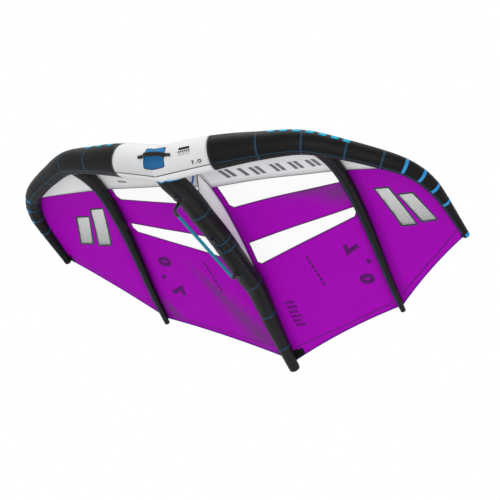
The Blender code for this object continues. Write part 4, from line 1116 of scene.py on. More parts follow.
# %% Tip caps and strut end caps
TIP_CAP_ROUNDING = 0.012
TIP_BAND_TURN, TIP_BAND_WIDTH = (radians(60), radians(295)), 0.038
STRUT_CAP_LENGTH, STRUT_CAP_ROUNDING = 0.012, 0.009


def cap_piece(name, start, run, ends, length, rounding, material):
    """A cap that runs straight, from the first radius in ends to the second, and then rounds in."""
    points, radii = [], []
    for share in even(0.0, 1.0, 6):
        points.append(start + run * (length - rounding) * share)
        radii.append(ends[0] + (ends[1] - ends[0]) * share)
    for turn in even(0.0, pi / 2, 10)[1:]:
        points.append(start + run * (length - rounding + rounding * sin(turn)))
        radii.append(max(ends[1] - rounding * (1 - cos(turn)), 0.0005))
    count = len(points) - 1
    form = tube_along([at_nose(p) for p in points], lambda share: radii[round(share * count)], 48)
    piece(name + "_cloth", form, material, stands_for=[name])


start, radius, _ = at_measure(NOSE_PATH, NOSE_LENGTHS, TUBE_TOTAL)
end, end_radius = NOSE_PATH[-1]
for side, label in SIDES:
    flip = Vector((side, 1, 1))
    run = ((end - start) * flip).normalized()
    cap_piece("tip_cap_" + label, start * flip, run, (radius, end_radius), (end - start).length, TIP_CAP_ROUNDING,
              TAPE_BLUE)
    band = round_tape(TUBE_TOTAL + 0.015, TIP_BAND_WIDTH, side, *TIP_BAND_TURN, BAND_LIFT)
    piece("tip_band_" + label, band, SLEEVE_BLACK, wall=0.001)
print("tip caps of radius", round(radius, 4), "m")

# %% [markdown]
# ## Struts
# A strut's sleeve meets the leading edge in a saddle-shaped seam. For each line along the strut
# the start is found where the line leaves the leading edge's surface, by halving the interval
# again and again, and the rings turn from that saddle into plain circles.

# %% Points round a strut
EDGE_TREE = tree_of([CENTRE_SLEEVE] + SLEEVES)
FRONT_RISE, FRONT_REACH = 0.031, (0.03, 0.17)
STRUT_RINGS = (0.591, 0.944, 1.035, 1.501, 1.839, 2.173)
SADDLE_REACH, TURN_REACH, TURN_SHARE, TUCK = 0.4, 0.12, 0.2, 0.012


def outside_edge(point):
    """How far a point is outside the leading edge's cloth; below zero it is inside."""
    spot, normal, _, _ = EDGE_TREE.find_nearest(at_nose(point))
    return (at_nose(point) - spot).dot(normal)


def strut_point(path, measures, y, angle, lift=0.0, side=1):
    """Point round a strut: angle 0 is its right side and 90 its top."""
    centre, radius, _ = at_measure(path, measures, y)
    run = run_at(path, measures, y)
    up = Vector((1, 0, 0)).cross(run)
    point = centre + (Vector((1, 0, 0)) * cos(angle) + up * sin(angle)) * (radius + lift)
    if path is STRUT_PATH:
        point.z += FRONT_RISE * (1.0 - smooth(y, *FRONT_REACH)) * max(-sin(angle), 0.0)
    return Vector((side * point.x, point.y, point.z))


def saddle(path, measures, angle):
    """Where a strut's line at an angle leaves the leading edge."""
    low, high = measures[0], measures[0] + SADDLE_REACH
    for _ in range(24):
        half = (low + high) / 2
        if outside_edge(strut_point(path, measures, half, angle)) < 0:
            low = half
        else:
            high = half
    return high


def strut_pucker(y, angle, rings):
    drawn = 0.0
    for index, ring in enumerate(rings):
        drawn -= STRUT_DEPTHS[0] * bell((y - ring) / SEAM_REACH)
        drawn += STRUT_DEPTHS[1] * sin(angle * 13 + index * 1.7) * bell((y - ring) / PUCKER_REACH)
    return drawn


def strut_surface(path, measures, rings, side, tuck=0.0):
    """Gives a function from shares round and along a strut to a place and its map.

    The cloth starts a tuck inside the leading edge's tube.
    """
    starts = {}

    def place(a, b, lift=0.0):
        angle = 2 * pi * a + pi / 2
        if a not in starts:
            starts[a] = saddle(path, measures, angle) - tuck
        mean, end = measures[0] + TURN_REACH, measures[-1]
        if b > TURN_SHARE:
            y = max(mean + (end - mean) * b, starts[a])
        else:
            y = starts[a] + (mean + (end - mean) * TURN_SHARE - starts[a]) * b / TURN_SHARE
        drawn = strut_pucker(y, angle, rings)
        return at_nose(strut_point(path, measures, y, angle, drawn + lift, side)), (angle * STRUT_MAP_RADIUS, y)
    return place


print("centre strut's front rises", FRONT_RISE, "m under the nose")


# %% Sleeves of the three struts
def build_strut(name, path, measures, rings, side, round_steps, steps):
    place = strut_surface(path, measures, rings, side, TUCK)
    form = cloth_grid(round_steps, steps, place, True)
    item = piece(name + "_cloth", form, STRUT_BLACK, stands_for=[name], wall=WALL, offset=-1.0)
    radius = path[0][1]
    inner = cloth_grid(24, steps, lambda a, b: place(a, b, -BLADDER_GAP), True)
    piece(name + "_bladder_film", inner, BLADDER, stands_for=[name + "_bladder"], wall=BLADDER_WALL,
          offset=-1.0)
    end, radius = path[-1]
    run = (end - path[-2][0]).normalized()
    flip = Vector((side, 1, 1))
    cap_piece(name + "_cap", end * flip, run * flip, (radius - 0.0004, radius - 0.0004), STRUT_CAP_LENGTH,
              STRUT_CAP_ROUNDING, STRUT_BLACK)
    return strut_surface(path, measures, rings, side)


CENTRE_PLACE = build_strut("centre_strut", STRUT_PATH, STRUT_Y, STRUT_RINGS, 1, 72, 150)
SIDE_PLACES = {side: build_strut("side_strut_" + label, SIDE_PATH, SIDE_Y, (), side, 48, 90)
               for side, label in SIDES}

# %% [markdown]
# ## Tapes and edging on the struts
# The centre strut has ring tapes where its panels meet, a bright edging where it meets the
# leading edge, and the side struts have one long tape underneath.

# %% Strut tapes
def strut_ring(y, width, lift=TAPE_LIFT):
    def place(a, b):
        angle = 2 * pi * b + pi / 2
        off = (a - 0.5) * width
        drawn = strut_pucker(y + off, angle, STRUT_RINGS) + lift
        spot = strut_point(STRUT_PATH, STRUT_Y, y + off, angle, drawn)
        return at_nose(spot), (b * 2 * pi * STRUT_MAP_RADIUS, off)
    return cloth_grid(4, 96, place)


def strut_line(path, measures, y0, y1, angle, width, side=1, lift=TAPE_LIFT):
    def place(a, b):
        y = y0 + (y1 - y0) * b
        radius = at_measure(path, measures, y)[1]
        off = (a - 0.5) * width
        return at_nose(strut_point(path, measures, y, angle + off / radius, lift, side)), (y, off)
    return cloth_grid(4, 120, place)


def saddle_edging(surface, width, wave=0.0):
    """A strip along the saddle seam, with a wavy free edge."""
    def place(a, b):
        share = a * width * (1.0 + wave * sin(b * 2 * pi * 7))
        spot, (u, _) = surface(round(b * 96) / 96, share * 0.5, TAPE_LIFT)
        return spot, (u, (a - 0.5) * 0.02)
    return cloth_grid(3, 96, place)


strips("strut_ring_tapes", [strut_ring(y, 0.018) for y in STRUT_RINGS], TAPE_DARK)
edging = saddle_edging(CENTRE_PLACE, 0.008, 0.35)
piece("strut_front_edging", edging, TAPE_BLUE, wall=TAPE_WALL)
for side, label in SIDES:
    line = strut_line(SIDE_PATH, SIDE_Y, SIDE_Y[0] + 0.16, SIDE_TAIL_Y + 0.02, radians(-90), 0.008, side)
    piece("side_strut_tape_" + label, line, TAPE_DARK, wall=TAPE_WALL)
    edging = saddle_edging(SIDE_PLACES[side], 0.006)
    piece("side_strut_edging_" + label, edging, TAPE_BLACK, wall=TAPE_WALL)
print("strut tapes:", len(STRUT_RINGS), "rings")

# %% [markdown]
# ## Canopy
# The canopy is one curved sheet, sewn from panels: white strips in front, purple cloth behind, and
# four clear windows with cut-off rear corners. Every panel is cut from the same surface, so their
# edges meet exactly. Each is a grid whose rows follow the windows' lines.

# %% Rows and columns of the canopy
WINDOW_INNER_X = 0.05
WINDOW_OUTER_X = 1.09
CHAMFER = 0.03
CORNER_ROW, CORNER_ROOM = 0.034, 0.07
MID_X = [FIT, WINDOW_INNER_X] + even(WINDOW_INNER_X, WINDOW_OUTER_X, 40)[1:] + [SIDE_X - FIT]
ROWS = [(0, share) for share in even(0.0, 1.0, 10)[:-1]]
PANE_STARTS = []
for line, steps in ((1, 8), (2, 10), (3, 8)):
    PANE_STARTS.append(len(ROWS))
    ROWS += [(line, share) for share in even(0.0, 1.0, steps)[:-1]]
    if line != 2:
        ROWS.append((line, None))
PANE_STARTS.append(len(ROWS))
ROWS += [(4, share) for share in even(0.0, 1.0, 28)]


def chord_of(row, span):
    """Chord share of a row; a row without a share is where the windows' corners are cut off."""
    line, share = ROWS[row]
    start, end = window_line(line, span), window_line(line + 1, span)
    if share is None:
        return end - CORNER_ROW / chord_length(span)
    limit = 1.0
    if line in (1, 3):
        limit -= CORNER_ROOM / ((end - start) * chord_length(span) + 1e-6)
    return start + (end - start) * share * max(limit, 0.3)


def mid_x(column, row):
    shift = 0.0
    if row in (PANE_STARTS[1], PANE_STARTS[3]):
        shift = {1: CHAMFER, len(MID_X) - 2: -CHAMFER}.get(column, 0.0)
    return MID_X[column] + shift


print("canopy grid:", len(ROWS), "rows,", len(MID_X), "columns to a side strut")


# %% Panels of the canopy
def panel(name, material, slot, side, columns, first, last, leave_out=None, outer=False):
    """A panel between two rows of the canopy; leave_out(column, row) opens the windows."""
    form = bmesh.new()
    count, rows = len(columns) - 1, last - first
    bmesh.ops.create_grid(form, x_segments=count, y_segments=rows, size=0.5)
    layer = form.loops.layers.uv.new("cut")
    places = {v: (round((v.co.x + 0.5) * count), round((v.co.y + 0.5) * rows) + first) for v in form.verts}
    if leave_out:
        gone = [face for face in form.faces
                if leave_out(min(places[v][0] for v in face.verts), min(places[v][1] for v in face.verts))]
        bmesh.ops.delete(form, geom=gone, context="FACES")
    for vert in form.verts:
        column, row = places[vert]
        span = columns[column] if outer else mid_x(columns[column], row) / SIDE_X
        vert.co = on_side(canopy(span, chord_of(row, span)), side)
    for face in form.faces:
        for loop in face.loops:
            loop[layer].uv = (loop.vert.co.x, loop.vert.co.y * 1.03)
    closed_up(form)
    if form.faces[:][0].normal.z < 0:
        bmesh.ops.reverse_faces(form, faces=form.faces)
    item = piece(name + "_cloth", form, material, stands_for=[name], wall=CLOTH, offset=0.0)
    return item


CANOPY = []
WHOLE = list(range(len(MID_X)))
PANE = WHOLE[1:-1]
WEDGE_SPAN = 1.0 + WEDGE_REACH_SHARE
OUTER_SPANS = [1.0 + FIT] + even(1.0, WEDGE_SPAN, 16)[1:] + even(WEDGE_SPAN, 2.0, 20)[1:]
WEDGE_SPANS = OUTER_SPANS[:17]


PANES = ((PANE_STARTS[0], PANE_STARTS[1]), (PANE_STARTS[2], PANE_STARTS[3]))


def in_pane(column, row):
    return 0 < column < len(MID_X) - 2 and any(first <= row < last for first, last in PANES)


front, last = PANE_STARTS[0], len(ROWS) - 1
for side, label in SIDES:
    edge, strut = "le_sleeve_" + label + "_cloth", "side_strut_" + label + "_cloth"
    made = [
        panel("front_strip_" + label, STRIP_WHITE, "canopy_white", side, WHOLE, 0, front),
        panel("canopy_mid_" + label, PURPLE, "canopy_purple", side, WHOLE, front, last, in_pane),
        panel("front_window_" + label, FILM, "window_film", side, PANE, *PANES[0]),
        panel("rear_window_" + label, FILM, "window_film", side, PANE, *PANES[1]),
        panel("front_wedge_" + label, STRIP_WHITE, "canopy_white", side, WEDGE_SPANS, 0, front, outer=True),
        panel("canopy_outer_" + label, PURPLE, "canopy_purple", side, OUTER_SPANS, front, last, outer=True),
    ]
    CANOPY += made

# %% [markdown]
# ## Laying strips and prints on the canopy
# A tape, a hem or a print is first made flat, in plan. Then every corner is dropped straight onto
# the canopy, which a ray from above finds. A flat shape is cut into small squares first, so that
# it can bend. Its thickness goes right through the cloth, so it shows from both sides.

# %% Drop flat shapes onto the cloth
CLOTH_TREE = tree_of(CANOPY)


def cloth_height(x, y):
    """Height of the canopy over a place in plan, or at the place nearest to it."""
    hit = CLOTH_TREE.ray_cast(Vector((x, y, 3.0)), Vector((0, 0, -1)))[0]
    if hit is None:
        hit = CLOTH_TREE.find_nearest(Vector((x, y, 0.4)))[0]
    return hit.z


def cut_up(form, size):
    """Cuts a flat shape along a square grid."""
    for axis in (0, 1):
        low = min(vert.co[axis] for vert in form.verts)
        high = max(vert.co[axis] for vert in form.verts)
        normal = Vector((1 - axis, axis, 0))
        for step in range(1, int((high - low) / size) + 1):
            whole = form.verts[:] + form.edges[:] + form.faces[:]
            bmesh.ops.bisect_plane(form, geom=whole, plane_co=normal * (low + step * size), plane_no=normal)
    return form


def lay(form):
    for vert in form.verts:
        vert.co.z = cloth_height(vert.co.x, vert.co.y)
    return form


def plan_strip(points, width, steps=60):
    """A flat strip of even width along a line in plan, laid on the canopy."""
    path = [(Vector((*point, 0.0)), 0.0) for point in points]
    lengths = running_lengths(path)

    def place(a, b):
        along = b * lengths[-1]
        spot = at_measure(path, lengths, along)[0]
        run = run_at(path, lengths, along, width)
        return spot + Vector((run.y, -run.x, 0)) * (a - 0.5) * width, (along, (a - 0.5) * width)
    return lay(cloth_grid(2, steps, place))


print("canopy is", round(cloth_height(0.5, 1.0), 3), "m high over x 0.5, y 1.0")


# %% Seams, hems, piping and welts
def panel_line(side, columns, row, outer=False):
    """Plan points of a canopy row, or of a row of a panel's columns."""
    points = []
    for column in columns:
        span = column if outer else mid_x(column, row) / SIDE_X
        points.append(on_side(canopy(span, chord_of(row, span)), side).xy)
    return points


def pane_outline(side, first, last):
    """A window's rear, inner and outer edges, and its front edge last."""
    edges = [panel_line(side, PANE, last)]
    for column in (1, len(MID_X) - 2):
        edges.append([panel_line(side, [column], row)[0] for row in range(first, last + 1)])
    return edges + [panel_line(side, PANE, first)]


def chord_tape(x, span, width):
    """A strip that runs from seat to trailing edge at one place across."""
    return plan_strip([(x, at_nose(canopy(span, chord)).y) for chord in even(0.02, 0.995, 60)], width, 90)


def edge_tube(edge, spans, radius, side):
    return tube_along([on_side(edge(span), side) for span in spans], radius, 8)


SEAM_WIDTH, HEM_SEAM_WIDTH = 0.007, 0.008
SEAM_WALL, HEM_WALL, MIDDLE_WALL = 0.0026, 0.0022, 0.0024
PIPING_RADIUS, WELT_RADIUS = 0.0038, 0.0034
HEM_LINES = (((0.05, 1.952), (1.1, 1.644), 100), ((1.2, 1.576), (1.9, 1.06), 80))
TAIL_SPANS = even(0.0, 1.0, 60) + even(1.0, 2.0, 60)[1:]
for side, label in SIDES:
    lines = [plan_strip(panel_line(side, WEDGE_SPANS, PANE_STARTS[0], True), SEAM_WIDTH, 40)]
    outlines = pane_outline(side, *PANES[0])[:-1] + pane_outline(side, *PANES[1])
    lines += [plan_strip(line, SEAM_WIDTH, 80) for line in outlines]
    strips("window_seams_" + label, lines, TAPE_LINE, SEAM_WALL)
    grey = [plan_strip(panel_line(side, WHOLE, PANE_STARTS[0]), 0.006, 80)]
    strips("strip_seam_" + label, grey, TAPE_GREY, SEAM_WALL)
    hems = [plan_strip([(side * x, y) for x, y in ends], HEM_SEAM_WIDTH, steps) for *ends, steps in HEM_LINES]
    strips("hem_seam_" + label, hems, TAPE_PURPLE, HEM_WALL)
    piping = edge_tube(rear_edge, TAIL_SPANS, PIPING_RADIUS, side)
    piece("trailing_edge_piping_" + label, piping, TAPE_INDIGO)
    welt = edge_tube(front_edge, even(1.02, 1.998, 120), WELT_RADIUS, side)
    piece("seat_welt_" + label, welt, TAPE_BLACK)
    over = chord_tape(side * SIDE_X, 1.0, 0.02)
    piece("strut_seam_tape_" + label, over, TAPE_BLACK, wall=MIDDLE_WALL)
piece("middle_seam_tape", chord_tape(0.0, 0.0, 0.012), TAPE_PURPLE, wall=MIDDLE_WALL)
print("seams laid on the canopy")

# %% [markdown]
# ## Web
# The centre strut hangs from the canopy by a web of white cloth. It is one flat panel in the
# middle plane, cut to the strut's top below and to the canopy above, and its front edge has a
# dark hem. Its map runs from that hem, so a painted purple tint can grow towards the thin rear tip,
# standing for the canopy's colour showing through the cloth.

# %% Web and its front hem
MIDDLE_LINE = [(canopy(0.0, chord), 0.0) for chord in even(0.0, 1.0, 160)]
MIDDLE_Y = [point.y for point, _ in MIDDLE_LINE]
HEM_FOOT_Y, HEM_FOOT_Z, HEM_KNEE_Z, HEM_LEAN = 0.477, 0.313, 0.385, 1.14
HEM_WIDTH = 0.012


def web_edges(y):
    top = at_measure(MIDDLE_LINE, MIDDLE_Y, y)[0].z - CLOTH / 2 - 2 * FIT
    centre, radius, run = at_measure(STRUT_PATH, STRUT_Y, y)
    bottom = centre.z + (radius + FIT) / run.y + 0.0008
    return bottom, max(top, bottom + FIT)


def hem_front(b):
    """Where the web's front edge lies at a height share: it leans forward up to a knee."""
    y = WEB_FRONT_Y
    for _ in range(16):
        bottom, top = web_edges(y)
        y = HEM_FOOT_Y - (min(bottom + (top - bottom) * b, HEM_KNEE_Z) - HEM_FOOT_Z) * HEM_LEAN
    return y


def web_point(y, b):
    bottom, top = web_edges(y)
    return at_nose((0.0, y, bottom + (top - bottom) * b)), (top - bottom) * b


def web_place(a, b):
    front = hem_front(b)
    y = front + (WEB_REAR_Y - front) * a
    spot, high = web_point(y, b)
    return spot, (y - WEB_FRONT_Y, high)


def web_hem(a, b):
    spot, high = web_point(hem_front(b) + HEM_WIDTH * a, b)
    return spot, (high, HEM_WIDTH * (a - 0.5))


web = cloth_grid(70, 12, web_place)
web = piece("strut_web_cloth", web, WEB_CLOTH, stands_for=["strut_web"], wall=CLOTH)
piece("strut_web_hem", cloth_grid(2, 16, web_hem), TAPE_BLACK, wall=0.003)

# %% [markdown]
# ## Handle mounts
# Four round patches reinforce the strut where handles or a boom can be screwed on. A patch is a
# ring of cloth bent to the strut, with a tape sewn round its edge. The hard boss in its middle is
# the solid model's own; a black moulded insert with a socket is added in each.

# %% Patches, edge tapes and threaded inserts
PATCH_REACH, EDGE_REACH = (0.02, 0.0445), (0.0395, 0.0445)
PATCH_LIFT, EDGE_LIFT = 0.0009, 0.0017
TRIANGLE_AHEAD, TRIANGLE_LENGTH, TRIANGLE_WIDTH = 0.105, 0.05, 0.07
INSERT_PROFILE = ((0.0034, 0.004), (0.0034, -0.0006), (0.0042, -0.001), (0.0062, -0.001), (0.0068, -0.0004),
                  (0.0068, 0.001))


def round_the_mount(y, radius, turn, lift):
    """Point on the strut's underside at a radius and turn about a mount."""
    place_y = y + radius * cos(turn)
    here = at_measure(STRUT_PATH, STRUT_Y, place_y)[1]
    angle = -pi / 2 + radius * sin(turn) / here
    return at_nose(strut_point(STRUT_PATH, STRUT_Y, place_y, angle, lift))


def mount_ring(y, inner, outer, lift):
    def place(a, b):
        radius = inner + (outer - inner) * a
        turn = 2 * pi * b
        return round_the_mount(y, radius, turn, lift), (turn * outer, (a - 0.5) * (outer - inner))
    return cloth_grid(4, 64, place, True)


def spun(form, geom, steps):
    """Turns a line or a circle once about the z axis."""
    bmesh.ops.spin(form, geom=geom, axis=(0, 0, 1), cent=(0, 0, 0), angle=2 * pi, steps=steps, use_merge=True)
    return closed_up(form)


def insert(y):
    """A threaded insert, turned from its profile about the boss's axis."""
    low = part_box("mount_boss_%d" % (MOUNT_Y.index(y) + 1))[0].z
    form = bmesh.new()
    verts = [form.verts.new((radius, 0, high)) for radius, high in INSERT_PROFILE]
    edges = [form.edges.new(pair) for pair in zip(verts[:-1], verts[1:])]
    form = spun(form, verts + edges, 24)
    bmesh.ops.translate(form, verts=form.verts, vec=(0, y + NOSE_AT.y, low))
    return form


for number, y in enumerate(MOUNT_Y, 1):
    name = "mount_patch_%d" % number
    patch = mount_ring(y, *PATCH_REACH, PATCH_LIFT)
    piece(name + "_cloth", patch, STRUT_BLACK, stands_for=[name], wall=TAPE_WALL)
    edge = mount_ring(y, *EDGE_REACH, EDGE_LIFT)
    piece("mount_edge_tape_%d" % number, edge, TAPE_DARK, wall=0.0006)
piece("mount_inserts", join([insert(y) for y in MOUNT_Y]), PLASTIC_BLACK)


def front_triangle():
    """A small reinforcing triangle ahead of the first mount."""
    def place(a, b):
        y = MOUNT_Y[0] - TRIANGLE_AHEAD + TRIANGLE_LENGTH * b
        angle = radians(-90) + (a - 0.5) * TRIANGLE_WIDTH * (b + 0.02) / 0.095
        spot = at_nose(strut_point(STRUT_PATH, STRUT_Y, y, angle, TAPE_LIFT))
        return spot, ((a - 0.5) * TRIANGLE_WIDTH * b, (b - 0.5) * TRIANGLE_LENGTH)
    return cloth_grid(6, 8, place)


piece("mount_front_triangle", front_triangle(), WEBBING, wall=TAPE_WALL)
print("handle mounts at y", [round(y + NOSE_AT.y, 3) for y in MOUNT_Y])

# %% [markdown]
# ## Corner patches
# The canopy's corners at the tail and at the tips are doubled with black cloth, cut in points and
# sewn on under the canopy.

# %% Tail and tip patches
PATCH_DROP = 0.0026


def corner_patch(name, side, spans, chords, points):
    """Patch under a corner: spans and chords give its reach, points the teeth of its front edge."""
    def place(a, b):
        span = spans[0] + (spans[1] - spans[0]) * a
        tooth = abs((a * points) % 1.0 - 0.5) * 0.5 if b < 0.001 else 0.0
        start = chords[0] + (1.0 - chords[0]) * (tooth + 0.35 * a)
        chord = start + (chords[1] - start) * b
        spot = on_side(canopy(span, chord) - Vector((0, 0, PATCH_DROP)), side)
        return spot, (spot.x, spot.y)
    form = cloth_grid(6 * points, 8, place)
    piece(name + "_cloth", form, PATCH_BLACK, stands_for=[name], wall=0.001)


for side, label in SIDES:
    corner_patch("tail_patch_" + label, side, (0.001, 0.11), (0.952, 0.998), 3)
    corner_patch("tip_patch_" + label, side, (1.93, 1.992), (0.42, 0.96), 2)

# %% [markdown]
# ## Front handle
# A foam pad is sewn on the front of the nose, so that the wing can be held by the strap that
# crosses it. The pad is a crowned slab bent round the tube, thin at its piped edge. The strap is
# stiff webbing that bows away from the pad and is sewn into a block at each end.

# %% Grip pad with a piped edge
PAD_HALF = 0.094
PAD_TOP, PAD_BOTTOM = radians(7), radians(-60)
PAD_EDGE, PAD_CROWN, PAD_CHANNEL = 0.0022, 0.0052, 0.0022
PAD_STEPS = 28


def pad_place(u, v, lift):
    """u runs across and v up the pad, both from -1 to 1, with the corners drawn in."""
    across = u * (1 - 0.035 * v ** 8) * (1 - 0.035 * v)
    up = v * (1 - 0.05 * u ** 8)
    angle = (PAD_TOP + PAD_BOTTOM) / 2 + (PAD_TOP - PAD_BOTTOM) / 2 * up
    return at_nose(section(across * PAD_HALF, angle, lift))


def pad_lift(u, v):
    crown = (1 - u ** 6) * (1 - v ** 6)
    channel = PAD_CHANNEL * bell((v - 0.02) / 0.07)
    return FIT + PAD_EDGE + PAD_CROWN * crown - channel


def grip_pad():
    form = bmesh.new()
    bmesh.ops.create_grid(form, x_segments=PAD_STEPS, y_segments=PAD_STEPS, size=1.0)
    form.loops.layers.uv.new("cut")
    top = {vert: (vert.co.x, vert.co.y) for vert in form.verts}
    made = bmesh.ops.extrude_face_region(form, geom=form.faces[:])
    raised = [item for item in made["geom"] if isinstance(item, bmesh.types.BMVert)]
    for vert in raised:
        u, v = vert.co.x, vert.co.y
        vert.co = pad_place(u, v, pad_lift(u, v))
    for vert, (u, v) in top.items():
        vert.co = pad_place(u, v, FIT + 0.0005)
    bmesh.ops.recalc_face_normals(form, faces=form.faces)
    return form


def round_the_pad(count):
    """Places round the pad's edge, as pairs u, v."""
    around = []
    for u, v, step_u, step_v in ((-1, -1, 2, 0), (1, -1, 0, 2), (1, 1, -2, 0), (-1, 1, 0, -2)):
        around += [(u + step_u * i / count, v + step_v * i / count) for i in range(count)]
    return around + around[:1]


pad = piece("handle_pad_cover", grip_pad(), PAD_COVER, stands_for=["handle_pad"], angle=70)
edge = [pad_place(u, v, 0.0028) for u, v in round_the_pad(18)]
piece("handle_pad_piping", tube_along(edge, 0.0034, 10, False), TAPE_LINE)
print("pad", round(2 * PAD_HALF, 3), "m wide")

# %% The strap over the pad
STRAP_HALF, STRAP_BOW = 0.128, 0.05
STRAP_WIDTH, STRAP_NARROWING, STRAP_WALL = 0.036, 0.013, 0.0045
STRAP_Y, STRAP_Z, STRAP_TURN = -0.43644, 0.06758, radians(-26)


def strap_place(a, b):
    share = 2 * a - 1
    bent = min(abs(share) / 0.875, 1.0)
    bow = STRAP_BOW * (1 - bent ** 4) ** 2
    width = STRAP_WIDTH - STRAP_NARROWING * share ** 6
    out = Vector((0, -cos(STRAP_TURN), sin(STRAP_TURN)))
    across = Vector((0, sin(STRAP_TURN), cos(STRAP_TURN)))
    spot = Vector((share * STRAP_HALF, STRAP_Y, STRAP_Z)) + out * bow + across * width * (b - 0.5)
    return spot, (share * STRAP_HALF, width * (b - 0.5))


piece("handle_strap_webbing", cloth_grid(56, 4, strap_place), WEBBING, "handle_strap_body",
      ["handle_strap"], STRAP_WALL)
print("strap", round(2 * STRAP_HALF, 3), "m between its ends")

# %% [markdown]
# ## Harness line
# The harness line is a braided tube that hangs under the strut and swings to either side. In
# front it bends up to its anchor under a black guard, and behind it ends in a black sleeve with an
# eye. The line is one even tube along the route; its length is measured from the route.

# %% The line and its front bend
def bezier(a, b, c, d, share):
    left = 1 - share
    return a * left ** 3 + b * 3 * share * left ** 2 + c * 3 * share ** 2 * left + d * share ** 3


SWING_AXIS = Vector((0, 0.99702, 0.07718))
FRONT_PIN = Vector((0, 0.034, 0.00414))
REAR_PIN = Vector((0, 0.993, 0.07837))
FRONT_EYE = FRONT_PIN + SWING_AXIS * 0.0145
REAR_EYE = REAR_PIN - SWING_AXIS * 0.0145
LINE_START = Vector((0, 0.064, -0.08586))
LINE_END = Vector((0, 0.979, 0.03637))
LINE_RUN = (LINE_END - LINE_START).normalized()
EYE_SIZE, EYE_WIRE, END_SIZE, LINE_SIZE, GUARD_WALL = 0.0085, 0.0036, 0.007, 0.0135, 0.0022


def bend_down(eye, foot, way, steps):
    """Route from under an eye down to a foot, which it reaches along a way."""
    start = eye - Vector((0, 0, EYE_SIZE))
    reach = (start - foot).length / 2
    pulls = start - Vector((0, 0, reach)), foot + way * reach
    return [bezier(start, *pulls, foot, share) for share in even(0.0, 1.0, steps)]


def length_of(points):
    return sum((b - a).length for a, b in zip(points[:-1], points[1:]))


front_bend = bend_down(FRONT_EYE - Vector((0, 0, 0.004)), LINE_START, -LINE_RUN, 18)
line_route = front_bend + straight(LINE_START, LINE_END, 0.0, 1.0, 24)[1:]
line = tube_along(line_route, LINE_SIZE, 20)
line = piece("harness_line_braid", line, BRAID, "harness_line_body", ["harness_line"])
tuple(line_route[0])
length_of(line_route)
[tuple(point) for point in line_route]
print("harness line", round(length_of(line_route), 3), "m")


# %% Eyes, guard and rear sleeve
def eye_ring(eye):
    """A ring in the plane square to the swing axis, spun from a small circle."""
    form = bmesh.new()
    form.loops.layers.uv.new("cut")
    turn = Matrix.Translation((EYE_SIZE, 0, 0)) @ Matrix.Rotation(pi / 2, 4, "X")
    bmesh.ops.create_circle(form, segments=16, radius=EYE_WIRE, matrix=turn)
    form = spun(form, form.verts[:] + form.edges[:], 40)
    seat = Matrix.Translation(eye) @ SWING_AXIS.to_track_quat("Z", "Y").to_matrix().to_4x4()
    bmesh.ops.transform(form, matrix=seat, verts=form.verts)
    return form


def bend_guard(route, radius, reach):
    """A half sleeve on the outer side of a bend in the middle plane."""
    count = len(route) - 1

    def place(a, b):
        index = round(b * count)
        run = (route[min(index + 1, count)] - route[max(index - 1, 0)]).normalized()
        outward = run.cross(Vector((1, 0, 0)))
        angle = (a - 0.5) * reach
        end = min(b, 1 - b)
        size = radius * (0.96 + 0.04 * smooth(end, 0.0, 0.08))
        spot = route[index] + (outward * cos(angle) + Vector((1, 0, 0)) * sin(angle)) * size
        return spot, (b * 0.1, angle * radius)
    return cloth_grid(16, count, place)


def line_part(name, form, stands_for=(), wall=0.0):
    piece(name, form, PLASTIC_BLACK, "harness_line_body", stands_for, wall)


guard_route = front_bend + straight(LINE_START, LINE_END, 0.0, 0.035, 4)[1:]
line_part("harness_guard", bend_guard(guard_route, LINE_SIZE + GUARD_WALL, radians(160)), wall=GUARD_WALL)
line_part("harness_front_eye", eye_ring(FRONT_EYE), ["harness_end_front"])
rear_bend = bend_down(REAR_EYE, LINE_END + LINE_RUN * FIT, LINE_RUN, 16)
rear_tube = tube_along(rear_bend, lambda share: END_SIZE + 0.0028 * smooth(share, 0.55, 0.8), 18)
line_part("harness_rear_end", join([eye_ring(REAR_EYE), rear_tube]), ["harness_end_rear"])
collar = straight(LINE_END - LINE_RUN * 0.03, LINE_END - LINE_RUN * 0.001, 0.0, 1.0, 8)
collar = tube_along(collar, lambda share: LINE_SIZE + 0.0012 * smooth(share, 0, 0.2), 20, False)
line_part("harness_rear_collar", collar, wall=0.001)
print("harness guard", round(length_of(guard_route), 3), "m")

# %% [markdown]
# ## Inflation hose
# A short silicone hose takes air from the leading edge to the strut. It leaves both ports square
# and bends in one even curve between. A ribbed band holds each end on its barb.

# %% Hose and its two bands
PORT_TURN, PORT_STRUT_Y = radians(32.01), 0.405
HOSE_SIZE, PORT_LENGTH, PORT_FLANGE = 0.0085, 0.018, 0.0028


def hose_route(steps):
    nose = at_nose(section(0.0, pi - PORT_TURN, FIT))
    out = Vector((0, cos(PORT_TURN), sin(PORT_TURN)))
    centre, radius, run = at_measure(STRUT_PATH, STRUT_Y, PORT_STRUT_Y)
    up = Vector((0, -run.z, run.y))
    foot = at_nose(centre + up * (radius + FIT))
    a, d = nose + out * PORT_FLANGE, foot + up * PORT_FLANGE
    b, c = a + out * PORT_LENGTH, d + up * PORT_LENGTH
    pull = (c - b).length * 0.62
    middle = [bezier(b, b + out * pull, c + up * pull, c, share) for share in even(0.0, 1.0, steps)]
    return straight(a, b, 0.0, 1.0, 4)[:-1] + middle + straight(c, d, 0.0, 1.0, 4)[1:]


